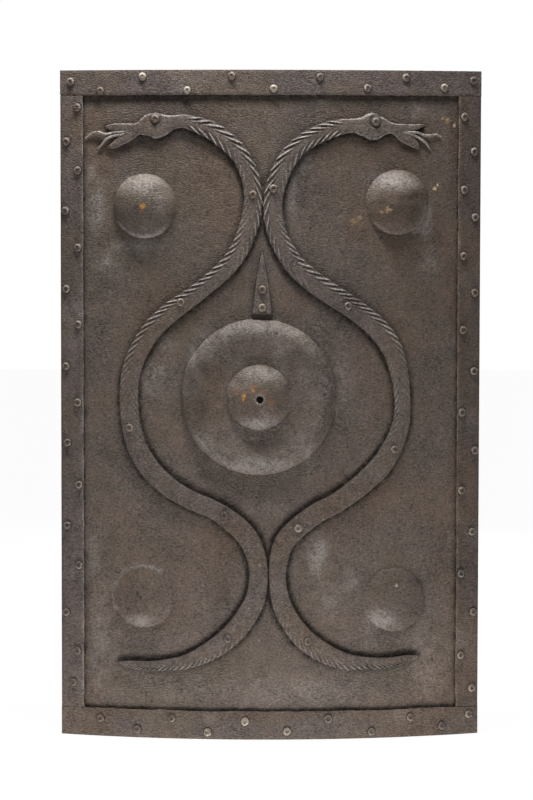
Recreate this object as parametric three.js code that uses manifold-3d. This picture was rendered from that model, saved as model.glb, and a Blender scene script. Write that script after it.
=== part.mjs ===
// A tall shield of hammered iron, rolled about its upright axis. Border straps, two serpents and a wedge
// plate are riveted to its face, a medallion and four bosses are raised out of the sheet, and its hollow
// back carries a grip bar and a hanging ring.
//
// Millimetres. +X is to the right as the face is seen, +Y goes through the shield to its back, +Z is up.
// Zero is the middle of the bottom strap's lower edge, halfway through the strap's thickness.
// Places on the shield are given on the flat pattern, before it is rolled: across from the middle line,
// up from the lower edge, and out from the sheet's face.
import * as THREE from "three";
import { mergeVertices } from "three/addons/utils/BufferGeometryUtils.js";
import Module from "manifold-3d";

const wasm = await Module();
wasm.setup();

// The whole shield
const shieldHeight = 900;
const shieldWidth = 565;
const shieldBow = 50;
const sheetThickness = 2;
const fitGap = 0.3;
const cutOverrun = 4;
const facetWidth = 24;

// Border straps
const strapThickness = 3;
const topStrapWidth = 33;
const bottomStrapWidth = 38;
const sideStrapWidth = 32;

// Rivets
const rivetHeadRadius = 6;
const rivetHeadHeight = 3;
const rivetShankRadius = 2.4;
const rivetTailRadius = 4;
const rivetTailHeight = 1.4;
const rivetBed = 0.5;

// Serpents
const serpentWidth = 27;
const serpentThickness = 6;

// Medallion and bosses
const medallionRadius = 105;
const medallionShoulder = 23;
const medallionHeight = 12;
const medallionValleyHeight = 8.5;
const medallionValleyRadius = 52;
const middleBossRadius = 43;
const middleBossHeight = 16;
const middleHoleRadius = 5;
const cornerBossRadius = 43;
const upperBossHeight = 18;
const lowerBossHeight = 11;

// Wedge plate above the medallion
const wedgeStandOff = 5.7;
const wedgeLength = 86;
const wedgeWidth = 26.5;
const wedgeThickness = 4.5;
const wedgeRivetSpacing = 24.3;
const wedgeLowerRivetInset = 9.2;

// Hanging ring and its saddle, behind the wedge plate
const ringWireRadius = 3;
const ringRadius = 22;
const ringStandOff = 2;
const saddleWidth = 12;
const saddleThickness = 2.4;
const saddleClearance = 1.3;
const saddleFootLength = 11;

// Grip bar and its leather
const gripBarHeight = 30;
const gripBarThickness = 5;
const gripPadLength = 36;
const leatherLength = 124;
const leatherThickness = 4;

// Counts of sides, steps and segments
const rivetSides = 8;
const boreSides = 6;
const medallionSegments = 28;
const bossSegments = 18;
const arcSteps = 3;
const samplesPerSpan = 2;
const ringSegments = 28;
const ringWireSides = 8;

// The sheet is bent to one radius, found from the width and the bow of its ends.
const halfWidth = shieldWidth / 2;
const rollRadius = (halfWidth * halfWidth + shieldBow * shieldBow) / (2 * shieldBow);
const halfSheet = rollRadius * Math.asin(halfWidth / rollRadius);
const strapSeat = fitGap + strapThickness;
const strapMiddle = fitGap + strapThickness / 2;

// A flat piece on the hollow back stands off by the sag of its own length and of the sheet's facets.
const sagOver = (length) => (length * length) / (8 * rollRadius);
const facetSag = sagOver(facetWidth);

// A place on the flat pattern, carried to where rolling puts it.
function rolled(across, up, out) {
  const turn = across / rollRadius;
  const reach = rollRadius + out;
  return new THREE.Vector3(
    reach * Math.sin(turn),
    rollRadius + strapMiddle - reach * Math.cos(turn),
    up,
  );
}

// A closed geometry as a solid that can be joined and cut.
function solidOf(geometry) {
  const bare = geometry.clone();
  bare.deleteAttribute("normal");
  bare.deleteAttribute("uv");
  const merged = mergeVertices(bare);
  return new wasm.Manifold(
    new wasm.Mesh({
      numProp: 3,
      vertProperties: merged.attributes.position.array,
      triVerts: new Uint32Array(merged.index.array),
    }),
  );
}

// A solid back as a geometry.
function geometryOf(solid) {
  const made = solid.getMesh();
  const geometry = new THREE.BufferGeometry();
  geometry.setAttribute("position", new THREE.BufferAttribute(made.vertProperties, 3));
  geometry.setIndex(new THREE.BufferAttribute(made.triVerts, 1));
  return geometry;
}

function cutFrom(solid, tools) {
  return tools.reduce((left, tool) => left.subtract(tool), solid);
}

function joinTo(solid, extras) {
  return extras.reduce((whole, extra) => whole.add(extra), solid);
}

// A curved strip: its plan follows the roll between two places across, and it is drawn straight up.
function rolledStrip(from, to, inner, outer, low, high) {
  const facets = Math.ceil((to - from) / facetWidth);
  const plan = [];
  for (let k = 0; k <= facets; k += 1) plan.push(rolled(from + ((to - from) * k) / facets, low, outer));
  for (let k = facets; k >= 0; k -= 1) plan.push(rolled(from + ((to - from) * k) / facets, low, inner));
  const outline = new THREE.Shape(plan.map((spot) => new THREE.Vector2(spot.x, spot.y)));
  const strip = new THREE.ExtrudeGeometry(outline, { depth: high - low, bevelEnabled: false });
  strip.translate(0, 0, low);
  return strip;
}

// A round form turned about its own middle on the flat pattern, and bent with the sheet.
function turnedOnSheet(profile, segments, across, up) {
  const form = new THREE.LatheGeometry(profile, segments);
  const places = form.attributes.position;
  for (let k = 0; k < places.count; k += 1) {
    const spot = rolled(across + places.getX(k), up - places.getZ(k), places.getY(k));
    places.setXYZ(k, spot.x, spot.y, spot.z);
  }
  return form;
}

// Turns a mesh or geometry so that its own +Y stands straight out of the sheet at a place across.
function outwardTurn(across) {
  const turn = across / rollRadius;
  const outward = new THREE.Vector3(Math.sin(turn), -Math.cos(turn), 0);
  return new THREE.Quaternion().setFromUnitVectors(new THREE.Vector3(0, 1, 0), outward);
}

// A cylinder square to the sheet at a place, from one distance out to another.
function cylinderOnSheet([across, up], radius, sides, from, to) {
  const cylinder = new THREE.CylinderGeometry(radius, radius, to - from, sides);
  cylinder.translate(0, (from + to) / 2, 0);
  cylinder.applyQuaternion(outwardTurn(across));
  cylinder.translate(...rolled(across, up, 0).toArray());
  return solidOf(cylinder);
}

// A smooth run of stations through a table of shares: across, up, width and height.
function stationsOf(shares) {
  const line = new THREE.CatmullRomCurve3(
    shares.map(
      ([across, up, width]) =>
        new THREE.Vector3(across * halfSheet, up * shieldHeight, width * serpentWidth),
    ),
  );
  const spans = shares.length - 1;
  const count = spans * samplesPerSpan;
  return Array.from({ length: count + 1 }, (_, k) => {
    const spot = line.getPoint(k / count);
    const span = Math.min(Math.floor(k / samplesPerSpan), spans - 1);
    const part = k / samplesPerSpan - span;
    const height = THREE.MathUtils.lerp(shares[span][3], shares[span + 1][3], part) * serpentThickness;
    return { across: spot.x, up: spot.y, width: spot.z, height };
  });
}

// A serpent's crowned section: shares of half its width and of its height, from one foot to the other.
const barSectionShares = [
  [-1, 0],
  [-1, 0.5],
  [-0.62, 0.88],
  [0, 1],
  [0.62, 0.88],
  [1, 0.5],
  [1, 0],
];

// A tongue is a thin wire, hammered flat on top.
const tongueSectionShares = [
  [-1, 0],
  [-0.5, 1],
  [0.5, 1],
  [1, 0],
];

// A bar forged along its stations to one section, lying on the sheet with its foot flat on the face.
function forgedBar(shares, sectionShares) {
  const stations = stationsOf(shares);
  const size = sectionShares.length;
  const places = [];
  stations.forEach((station, k) => {
    const before = stations[Math.max(k - 1, 0)];
    const after = stations[Math.min(k + 1, stations.length - 1)];
    const heading = new THREE.Vector2(after.across - before.across, after.up - before.up).normalize();
    sectionShares.forEach(([side, lift]) => {
      const reach = (side * station.width) / 2;
      const spot = rolled(
        station.across + heading.y * reach,
        station.up - heading.x * reach,
        fitGap + lift * station.height,
      );
      places.push(spot.x, spot.y, spot.z);
    });
  });
  const faces = [];
  for (let k = 0; k + 1 < stations.length; k += 1) {
    for (let j = 0; j < size; j += 1) {
      const a = k * size + j;
      const b = k * size + ((j + 1) % size);
      faces.push(a, b, b + size, a, b + size, a + size);
    }
  }
  const last = (stations.length - 1) * size;
  for (let j = 1; j + 1 < size; j += 1) {
    faces.push(0, j + 1, j);
    faces.push(last, last + j, last + j + 1);
  }
  const bar = new THREE.BufferGeometry();
  bar.setAttribute("position", new THREE.Float32BufferAttribute(places, 3));
  bar.setIndex(faces);
  return bar;
}

// A strip of even thickness bent along a path in a plane, and drawn from one level to another.
function bentStrip(path, thickness, low, high) {
  const side = (way) =>
    path.map((spot, k) => {
      const before = path[Math.max(k - 1, 0)];
      const after = path[Math.min(k + 1, path.length - 1)];
      const into = spot === before ? after.clone().sub(spot) : spot.clone().sub(before);
      const onward = spot === after ? into.clone() : after.clone().sub(spot);
      const square = into.normalize().add(onward.normalize()).normalize();
      const mitre = thickness / 2 / square.dot(onward);
      return new THREE.Vector2(spot.x - square.y * mitre * way, spot.y + square.x * mitre * way);
    });
  const outline = new THREE.Shape([...side(1), ...side(-1).reverse()]);
  const strip = new THREE.ExtrudeGeometry(outline, { depth: high - low, bevelEnabled: false });
  strip.translate(0, 0, low);
  return strip;
}

// Rivet places as shares. Along a top or bottom strap they are given across, along a side strap up. The
// second share is how far in from the shield's edge the rivet sits, of the strap's own width.
const topRivetShares = [
  [-0.945, 0.46],
  [-0.8, 0.84],
  [-0.598, 0.27],
  [-0.389, 0.83],
  [-0.183, 0.25],
  [0.01, 0.76],
  [0.223, 0.28],
  [0.444, 0.72],
  [0.627, 0.29],
  [0.812, 0.68],
  [0.957, 0.37],
];
const bottomRivetShares = [
  [-0.806, 0.65],
  [-0.627, 0.3],
  [-0.462, 0.73],
  [-0.293, 0.26],
  [-0.119, 0.65],
  [0.077, 0.3],
  [0.269, 0.73],
  [0.474, 0.24],
  [0.661, 0.71],
  [0.816, 0.35],
  [0.952, 0.72],
];
const leftRivetShares = [
  [0.945, 0.78],
  [0.894, 0.29],
  [0.851, 0.8],
  [0.791, 0.24],
  [0.736, 0.8],
  [0.674, 0.28],
  [0.621, 0.81],
  [0.558, 0.25],
  [0.504, 0.77],
  [0.443, 0.31],
  [0.38, 0.82],
  [0.318, 0.3],
  [0.258, 0.82],
  [0.186, 0.24],
  [0.128, 0.73],
  [0.08, 0.55],
];
const rightRivetShares = [
  [0.932, 0.78],
  [0.88, 0.33],
  [0.823, 0.77],
  [0.782, 0.27],
  [0.724, 0.79],
  [0.669, 0.27],
  [0.613, 0.8],
  [0.551, 0.28],
  [0.489, 0.81],
  [0.431, 0.22],
  [0.371, 0.82],
  [0.308, 0.33],
  [0.245, 0.82],
  [0.186, 0.25],
  [0.121, 0.82],
  [0.07, 0.3],
];
const leftSerpentRivetShares = [
  [-0.537, 0.928],
  [-0.085, 0.816],
  [-0.418, 0.656],
  [-0.66, 0.468],
  [-0.215, 0.338],
  [-0.2, 0.153],
];
const rightSerpentRivetShares = [
  [0.482, 0.924],
  [0.009, 0.825],
  [0.355, 0.651],
  [0.577, 0.436],
  [0.127, 0.319],
  [0.173, 0.149],
];

// The serpents, from snout to tail: across, up, width and height. The first nine or ten lines are the
// upper jaw, the snout and the broad crest over the eye, and the rest is the neck, body and tail.
const leftSerpentShares = [
  [-0.774, 0.916, 0.12, 0.5],
  [-0.747, 0.915, 0.33, 0.7],
  [-0.705, 0.915, 0.39, 0.75],
  [-0.662, 0.915, 0.4, 0.8],
  [-0.62, 0.913, 0.58, 0.9],
  [-0.591, 0.915, 0.78, 1],
  [-0.563, 0.918, 1.16, 1],
  [-0.535, 0.918, 1.32, 1],
  [-0.5, 0.919, 1.08, 1],
  [-0.46, 0.922, 0.72, 1],
  [-0.404, 0.924, 0.67, 1],
  [-0.336, 0.918, 0.8, 1],
  [-0.254, 0.906, 0.91, 1],
  [-0.137, 0.87, 0.9, 1],
  [-0.085, 0.82, 0.92, 1],
  [-0.105, 0.767, 0.94, 1],
  [-0.183, 0.717, 0.91, 1],
  [-0.347, 0.669, 0.9, 1],
  [-0.468, 0.641, 1, 1],
  [-0.567, 0.609, 0.98, 1],
  [-0.648, 0.558, 0.97, 1],
  [-0.665, 0.505, 0.97, 1],
  [-0.634, 0.445, 1, 1],
  [-0.576, 0.411, 1.02, 1],
  [-0.49, 0.383, 0.98, 1],
  [-0.378, 0.361, 0.92, 1],
  [-0.265, 0.346, 0.92, 1],
  [-0.177, 0.327, 1, 1],
  [-0.104, 0.303, 1.02, 1],
  [-0.059, 0.262, 0.94, 1],
  [-0.069, 0.216, 0.98, 1],
  [-0.11, 0.188, 1.05, 1],
  [-0.18, 0.159, 1.04, 1],
  [-0.279, 0.134, 0.95, 1],
  [-0.39, 0.117, 0.72, 0.95],
  [-0.487, 0.111, 0.57, 0.85],
  [-0.577, 0.109, 0.48, 0.75],
  [-0.658, 0.111, 0.36, 0.65],
  [-0.712, 0.113, 0.1, 0.5],
];
const leftJawShares = [
  [-0.6, 0.914, 0.35, 0.75],
  [-0.634, 0.908, 0.43, 0.8],
  [-0.666, 0.901, 0.41, 0.75],
  [-0.707, 0.895, 0.44, 0.7],
  [-0.734, 0.889, 0.33, 0.65],
  [-0.763, 0.886, 0.1, 0.5],
];
const leftTongueShares = [
  [
    [-0.655, 0.911, 0.12, 0.5],
    [-0.701, 0.908, 0.12, 0.5],
    [-0.739, 0.907, 0.12, 0.5],
    [-0.776, 0.905, 0.12, 0.5],
    [-0.813, 0.908, 0.12, 0.5],
    [-0.844, 0.906, 0.1, 0.5],
    [-0.876, 0.899, 0.07, 0.4],
  ],
  [
    [-0.665, 0.907, 0.12, 0.5],
    [-0.705, 0.904, 0.12, 0.5],
    [-0.742, 0.902, 0.12, 0.5],
    [-0.77, 0.898, 0.12, 0.5],
    [-0.79, 0.891, 0.11, 0.5],
    [-0.817, 0.883, 0.07, 0.4],
  ],
];
const rightSerpentShares = [
  [0.714, 0.919, 0.1, 0.5],
  [0.689, 0.917, 0.24, 0.7],
  [0.657, 0.915, 0.33, 0.75],
  [0.622, 0.915, 0.38, 0.8],
  [0.582, 0.914, 0.48, 0.9],
  [0.547, 0.915, 0.6, 0.95],
  [0.52, 0.916, 0.9, 1],
  [0.49, 0.916, 1.26, 1],
  [0.46, 0.917, 1.34, 1],
  [0.418, 0.917, 0.93, 1],
  [0.38, 0.918, 0.7, 1],
  [0.323, 0.916, 0.77, 1],
  [0.254, 0.91, 0.87, 1],
  [0.146, 0.892, 0.89, 1],
  [0.088, 0.874, 0.94, 1],
  [0.045, 0.851, 0.97, 1],
  [0.008, 0.808, 0.96, 1],
  [0.022, 0.763, 0.97, 1],
  [0.1, 0.715, 1.01, 1],
  [0.183, 0.69, 1.07, 1],
  [0.29, 0.666, 1.08, 1],
  [0.39, 0.645, 1.05, 1],
  [0.493, 0.618, 1.07, 1],
  [0.566, 0.586, 1.05, 1],
  [0.603, 0.547, 0.92, 1],
  [0.617, 0.503, 0.82, 1],
  [0.612, 0.475, 0.88, 1],
  [0.581, 0.446, 0.97, 1],
  [0.52, 0.413, 1.07, 1],
  [0.426, 0.384, 1.04, 1],
  [0.314, 0.358, 0.99, 1],
  [0.215, 0.341, 1, 1],
  [0.126, 0.32, 1.02, 1],
  [0.06, 0.296, 0.99, 1],
  [0.033, 0.262, 0.89, 1],
  [0.032, 0.24, 0.86, 1],
  [0.047, 0.209, 0.93, 1],
  [0.087, 0.181, 0.99, 1],
  [0.157, 0.152, 1.05, 1],
  [0.243, 0.132, 1, 1],
  [0.341, 0.118, 0.85, 0.95],
  [0.445, 0.114, 0.62, 0.85],
  [0.56, 0.114, 0.5, 0.75],
  [0.647, 0.119, 0.38, 0.65],
  [0.692, 0.122, 0.1, 0.5],
];
const rightJawShares = [
  [0.56, 0.914, 0.35, 0.75],
  [0.584, 0.909, 0.4, 0.8],
  [0.619, 0.901, 0.5, 0.75],
  [0.65, 0.896, 0.5, 0.7],
  [0.674, 0.89, 0.36, 0.65],
  [0.693, 0.884, 0.1, 0.5],
];
const rightTongueShares = [
  [
    [0.605, 0.911, 0.12, 0.5],
    [0.646, 0.909, 0.12, 0.5],
    [0.684, 0.908, 0.12, 0.5],
    [0.718, 0.904, 0.12, 0.5],
    [0.751, 0.904, 0.11, 0.5],
    [0.779, 0.905, 0.1, 0.5],
    [0.8, 0.902, 0.07, 0.4],
  ],
  [
    [0.605, 0.909, 0.12, 0.5],
    [0.645, 0.906, 0.12, 0.5],
    [0.678, 0.902, 0.12, 0.5],
    [0.706, 0.897, 0.12, 0.5],
    [0.729, 0.891, 0.11, 0.5],
    [0.746, 0.883, 0.07, 0.4],
  ],
];

// Middles of the medallion, of the hole in it and of the bosses, and how far across the wedge stands.
const medallionShares = [-0.057, 0.515];
const middleHoleShares = [-0.052, 0.5125];
const wedgeAcrossShare = -0.042;
const cornerBossShares = [
  { place: [-0.592, 0.798], height: upperBossHeight },
  { place: [0.591, 0.804], height: upperBossHeight },
  { place: [-0.598, 0.214], height: lowerBossHeight },
  { place: [0.582, 0.209], height: lowerBossHeight },
];
// The wedge's side, from its foot to its point: shares of its half width and of its length.
const wedgeSideShares = [
  [1, 0],
  [0.81, 0.25],
  [0.63, 0.49],
  [0.385, 0.685],
  [0.13, 0.915],
  [0, 1],
];

// Which rivet of each side strap also holds an end of the grip bar, counted from the top.
const gripRivetIndex = 8;
const gripStandOff = fitGap + facetSag + sagOver(gripPadLength);

// How high up its crown a serpent is filed flat for each rivet head.
const serpentSeatShare = 0.88;
const serpentSeat = fitGap + serpentSeatShare * serpentThickness;

const onShield = ([across, up]) => [across * halfSheet, up * shieldHeight];
const medallionPlace = onShield(medallionShares);
const wedgeAcross = wedgeAcrossShare * halfSheet;
const wedgeFoot = medallionPlace[1] + medallionRadius + wedgeStandOff;

const shield = new THREE.Group();

const wornIron = { color: 0x57504c, roughness: 0.62, metalness: 0.75 };
const sheetMaterial = new THREE.MeshStandardMaterial(wornIron);
const strapMaterial = new THREE.MeshStandardMaterial({ ...wornIron, color: 0x4e4947 });
const serpentMaterial = new THREE.MeshStandardMaterial({ ...wornIron, color: 0x635d58 });
const rivetMaterial = new THREE.MeshStandardMaterial({ ...wornIron, color: 0x6d655e });
const blackIronMaterial = new THREE.MeshStandardMaterial({ ...wornIron, color: 0x36322f });
const leatherMaterial = new THREE.MeshStandardMaterial({ color: 0x4a2f1e, roughness: 0.7, metalness: 0 });

// Adds one named piece to the shield.
function addPiece(name, geometry, material) {
  const piece = new THREE.Mesh(geometry, material);
  piece.name = name;
  shield.add(piece);
  return piece;
}

// A rivet stands with its head's underside at zero, and its tail is peened over at a reach below that.
function rivetGeometry(reach) {
  const shoulderShare = 0.72;
  return new THREE.LatheGeometry(
    [
      new THREE.Vector2(0, -reach - rivetTailHeight),
      new THREE.Vector2(rivetTailRadius, -reach),
      new THREE.Vector2(rivetShankRadius, -reach),
      new THREE.Vector2(rivetShankRadius, 0),
      new THREE.Vector2(rivetHeadRadius, 0),
      new THREE.Vector2(rivetHeadRadius * shoulderShare, rivetHeadHeight * shoulderShare),
      new THREE.Vector2(0, rivetHeadHeight),
    ],
    rivetSides,
  );
}

// The tool that bores a rivet's hole through whatever lies on or behind the sheet at a place.
const frontReach = serpentThickness + cutOverrun;
const backReach = sheetThickness + gripStandOff + gripBarThickness + cutOverrun;
const boreRadius = (rivetShankRadius + fitGap) / Math.cos(Math.PI / boreSides);
function rivetTool(place) {
  return cylinderOnSheet(place, boreRadius, boreSides, -backReach, frontReach);
}

// A loose rivet through a seat in front of the sheet and any thickness held behind it.
function addRivet(name, [across, up], seat, behind) {
  const reach = seat + fitGap + sheetThickness + behind + fitGap;
  const rivet = addPiece(name, rivetGeometry(reach), rivetMaterial);
  rivet.quaternion.copy(outwardTurn(across));
  rivet.position.copy(rolled(across, up, seat + fitGap));
}

// A rivet that is one piece with its strap, its head bedded a little into the strap's face.
function strapRivet([across, up]) {
  const seat = strapSeat - rivetBed;
  const rivet = rivetGeometry(seat + sheetThickness + fitGap);
  rivet.applyQuaternion(outwardTurn(across));
  const foot = rolled(across, up, seat);
  rivet.translate(foot.x, foot.y, foot.z);
  return solidOf(rivet);
}

const topRivets = topRivetShares.map(([along, inward]) => [
  along * halfSheet,
  shieldHeight - inward * topStrapWidth,
]);
const bottomRivets = bottomRivetShares.map(([along, inward]) => [
  along * halfSheet,
  inward * bottomStrapWidth,
]);
const leftRivets = leftRivetShares.map(([along, inward]) => [
  inward * sideStrapWidth - halfSheet,
  along * shieldHeight,
]);
const rightRivets = rightRivetShares.map(([along, inward]) => [
  halfSheet - inward * sideStrapWidth,
  along * shieldHeight,
]);
const leftSerpentRivets = leftSerpentRivetShares.map(onShield);
const rightSerpentRivets = rightSerpentRivetShares.map(onShield);
const wedgeRivets = [
  [wedgeAcross, wedgeFoot + wedgeLowerRivetInset],
  [wedgeAcross, wedgeFoot + wedgeLowerRivetInset + wedgeRivetSpacing],
];

// Quarter of an oval, from its foot at the outside to its top, without the foot itself.
function risingArc(middle, spread, base, rise) {
  return Array.from({ length: arcSteps }, (_, k) => {
    const turn = ((k + 1) / arcSteps) * (Math.PI / 2);
    return new THREE.Vector2(middle + spread * Math.cos(turn), base + rise * Math.sin(turn));
  });
}

// The medallion's profile, drawn in by an inset for its hollow back: a rounded shoulder, a flat ring that
// sinks to a valley, and the middle boss.
function medallionProfile(inset, depth) {
  const shoulderMiddle = medallionRadius - medallionShoulder;
  return [
    new THREE.Vector2(0, -depth),
    new THREE.Vector2(medallionRadius - inset, -depth),
    new THREE.Vector2(medallionRadius - inset, 0),
    ...risingArc(shoulderMiddle, medallionShoulder - inset, 0, medallionHeight - inset),
    new THREE.Vector2(medallionValleyRadius, medallionValleyHeight - inset),
    new THREE.Vector2(middleBossRadius - inset, medallionValleyHeight - inset),
    ...risingArc(0, middleBossRadius - inset, medallionValleyHeight - inset, middleBossHeight),
  ];
}

// A corner boss's profile: an oval cap.
function bossProfile(height, inset, depth) {
  return [
    new THREE.Vector2(0, -depth),
    new THREE.Vector2(cornerBossRadius - inset, -depth),
    new THREE.Vector2(cornerBossRadius - inset, 0),
    ...risingArc(0, cornerBossRadius - inset, 0, height - inset),
  ];
}

// The sheet: rolled, with the medallion and bosses hammered out from behind and the rivet holes punched.
const allRivets = [
  ...topRivets,
  ...bottomRivets,
  ...leftRivets,
  ...rightRivets,
  ...leftSerpentRivets,
  ...rightSerpentRivets,
  ...wedgeRivets,
];
const middleHolePlace = onShield(middleHoleShares);
const bosses = cornerBossShares.map(({ place, height }) => ({ place: onShield(place), height }));
const raisedForms = [
  turnedOnSheet(medallionProfile(0, sheetThickness / 2), medallionSegments, ...medallionPlace),
  ...bosses.map(({ place, height }) =>
    turnedOnSheet(bossProfile(height, 0, sheetThickness / 2), bossSegments, ...place),
  ),
];
const hollowDepth = sheetThickness + cutOverrun;
const hollows = [
  turnedOnSheet(medallionProfile(sheetThickness, hollowDepth), medallionSegments, ...medallionPlace),
  ...bosses.map(({ place, height }) =>
    turnedOnSheet(bossProfile(height, sheetThickness, hollowDepth), bossSegments, ...place),
  ),
];
const holeReach = medallionValleyHeight + middleBossHeight + cutOverrun;
const middleHole = cylinderOnSheet(middleHolePlace, middleHoleRadius, bossSegments, 0, holeReach);
const blank = rolledStrip(-halfSheet, halfSheet, -sheetThickness, 0, 0, shieldHeight);
const hammered = joinTo(solidOf(blank), raisedForms.map(solidOf));
const opened = cutFrom(hammered, [...hollows.map(solidOf), middleHole]);
addPiece("shield_sheet", geometryOf(cutFrom(opened, allRivets.map(rivetTool))), sheetMaterial);

// The top and bottom straps run the full width, and their rivets are one piece with them.
function crossStrap(name, low, high, rivets) {
  const strap = rolledStrip(-halfSheet, halfSheet, fitGap, strapSeat, low, high);
  addPiece(name, geometryOf(joinTo(solidOf(strap), rivets.map(strapRivet))), strapMaterial);
}
crossStrap("top_strap", shieldHeight - topStrapWidth, shieldHeight, topRivets);
crossStrap("bottom_strap", 0, bottomStrapWidth, bottomRivets);

// The side straps butt between them, each held by a zigzag of loose rivets.
function sideStrap(side, from, to, rivets) {
  const low = bottomStrapWidth + fitGap;
  const high = shieldHeight - topStrapWidth - fitGap;
  const strap = rolledStrip(from, to, fitGap, strapSeat, low, high);
  const bored = cutFrom(solidOf(strap), rivets.map(rivetTool));
  addPiece(`${side}_strap`, geometryOf(bored), strapMaterial);
  rivets.forEach((place, k) => {
    const behind = k === gripRivetIndex ? gripStandOff + gripBarThickness : 0;
    addRivet(`${side}_strap_rivet_${String(k + 1).padStart(2, "0")}`, place, strapSeat, behind);
  });
}
sideStrap("left", -halfSheet, sideStrapWidth - halfSheet, leftRivets);
sideStrap("right", halfSheet - sideStrapWidth, halfSheet, rightRivets);

// Each serpent is one forging: body with upper jaw, lower jaw, and a forked tongue.
function serpent(side, body, jaw, tongues, rivets) {
  const parts = [
    solidOf(forgedBar(jaw, barSectionShares)),
    ...tongues.map((shares) => solidOf(forgedBar(shares, tongueSectionShares))),
  ];
  const forged = joinTo(solidOf(forgedBar(body, barSectionShares)), parts);
  const seatRadius = rivetHeadRadius + fitGap;
  const seats = rivets.map((place) =>
    cylinderOnSheet(place, seatRadius, rivetSides, serpentSeat, frontReach),
  );
  const bored = cutFrom(forged, [...seats, ...rivets.map(rivetTool)]);
  addPiece(`${side}_serpent`, geometryOf(bored), serpentMaterial);
  rivets.forEach((place, k) => {
    addRivet(`${side}_serpent_rivet_${k + 1}`, place, serpentSeat, 0);
  });
}
serpent("left", leftSerpentShares, leftJawShares, leftTongueShares, leftSerpentRivets);
serpent("right", rightSerpentShares, rightJawShares, rightTongueShares, rightSerpentRivets);

// The wedge plate: flat, square at its foot and drawn to a point at its top.
const wedgeSide = wedgeSideShares.map(
  ([half, along]) => new THREE.Vector2((half * wedgeWidth) / 2, along * wedgeLength),
);
const wedgeFarSide = wedgeSide.slice(0, -1).map((spot) => new THREE.Vector2(-spot.x, spot.y));
const wedgeOutline = new THREE.Shape([...wedgeSide, ...wedgeFarSide.reverse()]);
const wedge = new THREE.ExtrudeGeometry(wedgeOutline, { depth: wedgeThickness, bevelEnabled: false });
wedge.rotateX(Math.PI / 2);
wedge.translate(0, -fitGap, wedgeFoot);
wedge.rotateZ(wedgeAcross / rollRadius);
wedge.translate(...rolled(wedgeAcross, 0, 0).toArray());
const boredWedge = cutFrom(solidOf(wedge), wedgeRivets.map(rivetTool));
addPiece("wedge_plate", geometryOf(boredWedge), strapMaterial);

// Behind the wedge, its two rivets also hold the saddle, and the ring swings in the saddle's arch.
const pivotDepth = ringStandOff + ringWireRadius;
const pivotUp = wedgeFoot + wedgeLowerRivetInset + wedgeRivetSpacing / 2;
const archRadius = ringWireRadius + saddleClearance + saddleThickness / 2;
const saddleStandOff = fitGap + facetSag;
const footDepth = saddleStandOff + saddleThickness / 2;
const footEnd = wedgeRivetSpacing / 2 + saddleFootLength / 2;
const archSteps = 2 * arcSteps;
const arch = Array.from({ length: archSteps + 1 }, (_, k) => {
  const turn = Math.PI - (k / archSteps) * Math.PI;
  return new THREE.Vector2(archRadius * Math.cos(turn), pivotDepth + archRadius * Math.sin(turn));
});
const saddlePath = [
  new THREE.Vector2(-footEnd, footDepth),
  new THREE.Vector2(-archRadius, footDepth),
  ...arch,
  new THREE.Vector2(archRadius, footDepth),
  new THREE.Vector2(footEnd, footDepth),
];
const backOfSheet = rolled(wedgeAcross, pivotUp, -sheetThickness);
const saddle = bentStrip(saddlePath, saddleThickness, -saddleWidth / 2, saddleWidth / 2);
saddle.rotateY(-Math.PI / 2);
saddle.rotateZ(wedgeAcross / rollRadius);
saddle.translate(...backOfSheet.toArray());
const boredSaddle = cutFrom(solidOf(saddle), wedgeRivets.map(rivetTool));
addPiece("ring_saddle", geometryOf(boredSaddle), blackIronMaterial);
const wedgeSeat = fitGap + wedgeThickness;
const saddleBehind = saddleStandOff + saddleThickness;
addRivet("wedge_rivet_lower", wedgeRivets[0], wedgeSeat, saddleBehind);
addRivet("wedge_rivet_upper", wedgeRivets[1], wedgeSeat, saddleBehind);

const ringMesh = addPiece(
  "hanging_ring",
  new THREE.TorusGeometry(ringRadius, ringWireRadius, ringWireSides, ringSegments),
  blackIronMaterial,
);
const pivot = rolled(wedgeAcross, pivotUp, -sheetThickness - pivotDepth);
ringMesh.rotation.set(Math.PI / 2, 0, wedgeAcross / rollRadius);
ringMesh.position.set(pivot.x, pivot.y, pivot.z - ringRadius);

// The grip bar: a straight strap across the hollow back, its ends bent flat against the sheet.
const padAcross = halfSheet - (leftRivetShares[gripRivetIndex][1] * sideStrapWidth);
const padTurn = padAcross / rollRadius;
const padMiddle = rolled(padAcross, 0, -sheetThickness - gripStandOff - gripBarThickness / 2);
const alongPad = new THREE.Vector2(Math.cos(padTurn), Math.sin(padTurn)).multiplyScalar(
  gripPadLength / 2,
);
const padCentre = new THREE.Vector2(padMiddle.x, padMiddle.y);
const padOuter = padCentre.clone().add(alongPad);
const padInner = padCentre.clone().sub(alongPad);
const mirrored = (spot) => new THREE.Vector2(-spot.x, spot.y);
const gripUp = (leftRivets[gripRivetIndex][1] + rightRivets[gripRivetIndex][1]) / 2;
const gripBar = bentStrip(
  [mirrored(padOuter), mirrored(padInner), padInner, padOuter],
  gripBarThickness,
  gripUp - gripBarHeight / 2,
  gripUp + gripBarHeight / 2,
);
const gripTools = [leftRivets[gripRivetIndex], rightRivets[gripRivetIndex]].map(rivetTool);
addPiece("grip_bar", geometryOf(cutFrom(solidOf(gripBar), gripTools)), blackIronMaterial);

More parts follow.
